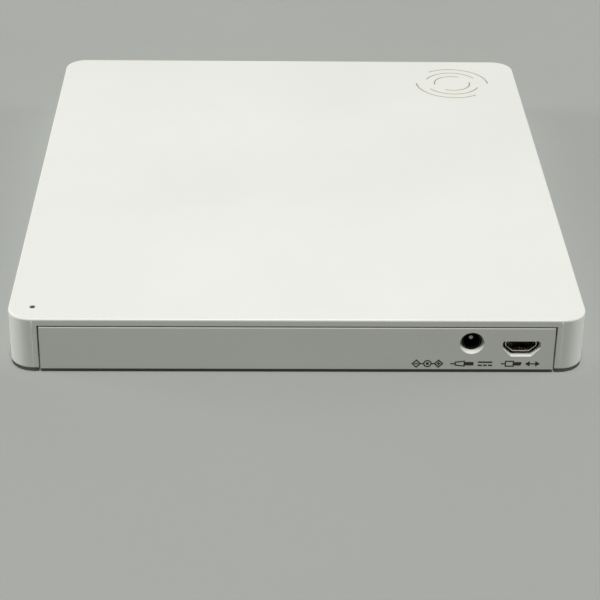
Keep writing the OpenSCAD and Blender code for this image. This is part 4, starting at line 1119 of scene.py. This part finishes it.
def print_loops(work, outline):
    """The points of an outline, just behind and just before the panel's face."""
    loops = []
    for y in (panel_y - PRINT_T, panel_y + PRINT_T):
        loops.append([work.verts.new((-x * MM, y, (PRINT_Z + z) * MM)) for x, z in outline])
    return loops


def solid(work, outline):
    """A filled outline."""
    join_rings(work, print_loops(work, outline))


def hollow(work, outline, inner):
    """A band between two outlines with the same number of points."""
    back, front = print_loops(work, outline)
    back_in, front_in = print_loops(work, inner)
    for near, far in ((back, front), (back_in, front_in), (back, back_in), (front, front_in)):
        join_pair(work, near, far)


def bar(x0, z0, x1, z1):
    """The corners of a rectangle."""
    return [(x0, z0), (x1, z0), (x1, z1), (x0, z1)]


def stroke(x0, x1, thick=LINE):
    """The corners of a level stroke at half height."""
    return bar(x0, MID - thick / 2, x1, MID + thick / 2)


def diamond(x, half):
    """The corners of a square on its tip, at half height."""
    return [(x - half, MID), (x, MID - half), (x + half, MID), (x, MID + half)]


def plug_body(x0, x1, slope, inset=0):
    """The corners of a plug's body. Its left end is less tall, by the slope above and below."""
    return [(x0 + inset, LOW + slope + inset), (x1 - inset, LOW + inset),
            (x1 - inset, HIGH - inset), (x0 + inset, HIGH - slope - inset)]


print("panel face at y =", round(panel_y / MM, 2), "mm")

# %% Polarity sign
MINUS_X, RING_X, PLUS_X = 29.95, 32.75, 35.55
TIP = 1.25
RING_R, DOT_R = 1.05, 0.42
RING_STEPS, DOT_STEPS = 32, 20
SIGN_HALF = 0.5
DIAMOND_LINE = 1.45 * LINE
OVERLAP = 0.1
RING_REACH = 1.0

ink = bmesh.new()
for x in (MINUS_X, PLUS_X):
    hollow(ink, diamond(x, TIP), diamond(x, TIP - DIAMOND_LINE))
    solid(ink, stroke(x - SIGN_HALF, x + SIGN_HALF))
for z0, z1 in ((MID + LINE / 2, MID + SIGN_HALF), (MID - SIGN_HALF, MID - LINE / 2)):
    solid(ink, bar(PLUS_X - LINE / 2, z0, PLUS_X + LINE / 2, z1))
hollow(ink, *(circle(RING_X, MID, radius, RING_STEPS) for radius in (RING_R, RING_R - LINE)))
solid(ink, circle(RING_X, MID, DOT_R, DOT_STEPS))
solid(ink, stroke(MINUS_X + TIP - OVERLAP, RING_X - RING_REACH))
solid(ink, stroke(RING_X + RING_REACH, PLUS_X - TIP + OVERLAP))
print("polarity sign from", MINUS_X - TIP, "to", PLUS_X + TIP, "mm")

# %% Signs of the power plug and the data plug
POWER_TIP, POWER_BODY, POWER_CORD, POWER_END = 38.5, 39.6, 42.2, 44.4
POWER_SLOPE = 0.3
DATA_TIP, DATA_BODY, DATA_CORD, DATA_BEND, DATA_END = 51.3, 52.3, 54.6, 56.1, 56.5
CORD = 1.0
BEND_RISE = 0.35
CURRENT_LEFT, CURRENT_RIGHT = 45.5, 49.1
CURRENT_GAP, CURRENT_LINE = 0.25, 1.3 * LINE
DASHES, DASH, DASH_STEP = 3, 1.0, 1.3
ARROW_LEFT, ARROW_RIGHT = 57.4, 61.2
ARROW_LONG, ARROW_HALF = 1.2, 0.8
SHAFT_IN = 1.1

for tip, body, cord, slope in ((POWER_TIP, POWER_BODY, POWER_CORD, POWER_SLOPE),
                               (DATA_TIP, DATA_BODY, DATA_CORD, 0)):
    solid(ink, stroke(tip, body))
    hollow(ink, plug_body(body, cord, slope), plug_body(body, cord, slope, LINE))
solid(ink, stroke(POWER_CORD, POWER_END, CORD))
cord_low, cord_high = MID - CORD / 2, MID + CORD / 2
solid(ink, [(DATA_CORD, cord_low), (DATA_BEND, cord_low), (DATA_END, cord_low + BEND_RISE),
            (DATA_END, cord_high), (DATA_CORD, cord_high)])

current_z = MID + CURRENT_GAP
solid(ink, bar(CURRENT_LEFT, current_z, CURRENT_RIGHT, current_z + CURRENT_LINE))
for k in range(DASHES):
    x = CURRENT_LEFT + DASH_STEP * k
    solid(ink, bar(x, MID - CURRENT_GAP - CURRENT_LINE, x + DASH, MID - CURRENT_GAP))

solid(ink, stroke(ARROW_LEFT + SHAFT_IN, ARROW_RIGHT - SHAFT_IN))
for x, inward in ((ARROW_LEFT, 1), (ARROW_RIGHT, -1)):
    root = x + inward * ARROW_LONG
    solid(ink, [(x, MID), (root, MID - inward * ARROW_HALF), (root, MID + inward * ARROW_HALF)])


def ink_finish():
    material, tree, shader, place = start_finish("grey_print")
    tint(tree, shader, noise(tree, place, 900), (0.022, 0.018, 0.013), (0.034, 0.028, 0.020))
    gloss(tree, shader, noise(tree, place, 1800), 0.46, 0.60)
    return material


add_modelled("port_signs", ink, body_of("base_cover"), "black_plastic", material=ink_finish())
print("print signs are on the panel")

# %% [markdown]
# ## Mark on the roof
# A fine gold mark sits in one corner of the roof. Here it is a plain sign for a disc: pairs of thin arcs
# that close in on the middle like the tracks of a disc. One tree makes it: an arc of radius 1 is set on
# every point, scaled and turned by its index, and a flat section then runs along the curves.

# %% Mark on the roof
MARK_AT = Vector((-51.8, -65.8, 0)) * MM
MARK = {"Outer radius": 11.4 * MM, "Step": 2.9 * MM, "Sweep": 2.2, "Twist": 0.55,
        "Line width": 0.38 * MM, "Thickness": 0.06 * MM, "Arcs": 6}
TRACK_STEPS, TRACK_SIDES = 48, 8


def tracks_tree(material):
    labels = ("Outer radius", "Step", "Sweep", "Twist", "Line width", "Thickness")
    tree, sockets = new_tree("disc_tracks", labels, ("Arcs",))
    outer, step, sweep, twist, wide, thick = (sockets[label] for label in labels)
    points = add_node(tree, "GeometryNodeMeshLine",
                      {"Count": sockets["Arcs"], "Offset": (0, 0, 0)}, mode="OFFSET")
    index = add_node(tree, "GeometryNodeInputIndex").outputs[0]
    pair = maths(tree, "FLOOR", times(tree, index, 0.5), 0)
    radius = maths(tree, "SUBTRACT", outer, times(tree, pair, step))
    turn = maths(tree, "ADD", times(tree, index, math.pi), times(tree, pair, twist))
    track = add_node(tree, "GeometryNodeCurveArc",
                     {"Sweep Angle": sweep, "Resolution": TRACK_STEPS, "Radius": 1.0}, mode="RADIUS")
    placed = copies(tree, points.outputs[0], track.outputs["Curve"],
                    Rotation=turned_by(tree, vector(tree, 0, 0, turn)),
                    Scale=vector(tree, radius, radius, radius))
    curves = add_node(tree, "GeometryNodeRealizeInstances", {"Geometry": placed})
    lines = swept(tree, curves.outputs[0], round_section(tree, times(tree, wide, 0.5), TRACK_SIDES))
    flat = vector(tree, 1, 1, maths(tree, "DIVIDE", thick, wide))
    return end_tree(tree, moved(tree, lines, Scale=flat), material)


roof_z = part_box("top_cover")[1].z
mark_mesh = grow("roof_mark", tracks_tree(gold_ink), MARK)
mark_mesh.transform(Matrix.Translation(MARK_AT + Vector((0, 0, roof_z))))
shade_smooth(mark_mesh)
add_piece("roof_mark", mark_mesh, body_of("top_cover"), "plated_metal")
print("roof mark:", len(mark_mesh.polygons), "faces")

# %% [markdown]
# ## Floor and light
# The drive lies on a plain pale floor under soft, even light. The main light stands high and a little
# behind the drive, so the roof is bright, the port face lies in soft shade, and the port holes and the
# panel's upper edge catch the light. Two side lights and a front light stand low, shape the round corners
# and give no reflections. Suns with a wide angle act as very large, far softboxes. The floor throws no
# light back on the drive, because a strong bounce from below would flatten the port face. The dim lower
# half of the world stands for a weak bounce, so that the lower edges aren't black.

# %% Floor
FLOOR_HALF = 30.0
FLOOR_DROP = 0.02 * MM

corners = [(x, y, -FLOOR_DROP) for x, y in bar(-FLOOR_HALF, -FLOOR_HALF, FLOOR_HALF, FLOOR_HALF)]
floor_mesh = bpy.data.meshes.new("floor")
floor_mesh.from_pydata(corners, [], [(0, 1, 2, 3)])
paper, tree, shader, place = start_finish("pale_paper")
tint(tree, shader, noise(tree, place, 3.0, 5.0), (0.345, 0.355, 0.342), (0.368, 0.378, 0.365))
gloss(tree, shader, noise(tree, place, 300), 0.75, 0.9)
shader.inputs["Specular IOR Level"].default_value = 0.2
floor_mesh.materials.append(paper)
floor = bpy.data.objects.new("floor", floor_mesh)
scene.collection.objects.link(floor)
floor.visible_diffuse = False
print("floor:", 2 * FLOOR_HALF, "m wide")

# %% World
BELOW = (0.092, 0.108, 0.094, 1)
HORIZON = (0.394, 0.408, 0.384, 1)
ABOVE = (0.04, 0.045, 0.04, 1)
GLOW_RISE = ((-0.2, BELOW), (0.17, ABOVE), (-0.06, HORIZON), (0.03, HORIZON))

world = bpy.data.worlds.new("studio")
scene.world = world
world.use_nodes = True
sky = world.node_tree
direction = add_node(sky, "ShaderNodeTexCoord").outputs["Object"]
rise = add_node(sky, "ShaderNodeSeparateXYZ", {0: direction}).outputs["Z"]
share = add_node(sky, "ShaderNodeMapRange", {"From Min": -1, "Value": rise}).outputs["Result"]
glow = add_node(sky, "ShaderNodeValToRGB", {"Fac": share})
stops = glow.color_ramp.elements
for k, (height, colour) in enumerate(GLOW_RISE):
    position = 0.5 + 0.5 * height
    stop = stops[k] if k < 2 else stops.new(position)
    stop.position, stop.color = position, colour
sky.links.new(glow.outputs["Color"], sky.nodes["Background"].inputs["Color"])
scene.view_settings.view_transform = "Standard"
print("world: glows at the horizon")


# %% Lights
def soft_sun(name, azimuth, elevation, strength, width, colour=(1, 1, 1), glare=False):
    """A far softbox; azimuth 0 stands on +Y and 90 on +X, width is its angle, all in degrees."""
    data = bpy.data.lights.new(name, "SUN")
    data.energy = strength
    data.angle = math.radians(width)
    data.color = colour
    turn, lift = math.radians(azimuth), math.radians(elevation)
    stands = Vector((math.sin(turn) * math.cos(lift), math.cos(turn) * math.cos(lift), math.sin(lift)))
    light = bpy.data.objects.new(name, data)
    light.rotation_euler = (-stands).to_track_quat("-Z", "Y").to_euler()
    light.visible_glossy = glare
    scene.collection.objects.link(light)


WARM = (0.995, 0.993, 0.964)
COOL = (0.955, 1, 0.975)
soft_sun("overhead", azimuth=0, elevation=76.6, strength=2.84, width=12, colour=WARM, glare=True)
soft_sun("side_left", azimuth=100, elevation=6, strength=2.80, width=30, colour=COOL)
soft_sun("side_right", azimuth=-100, elevation=6, strength=2.26, width=30, colour=COOL)
soft_sun("front_low", azimuth=180, elevation=10, strength=0.2, width=30)
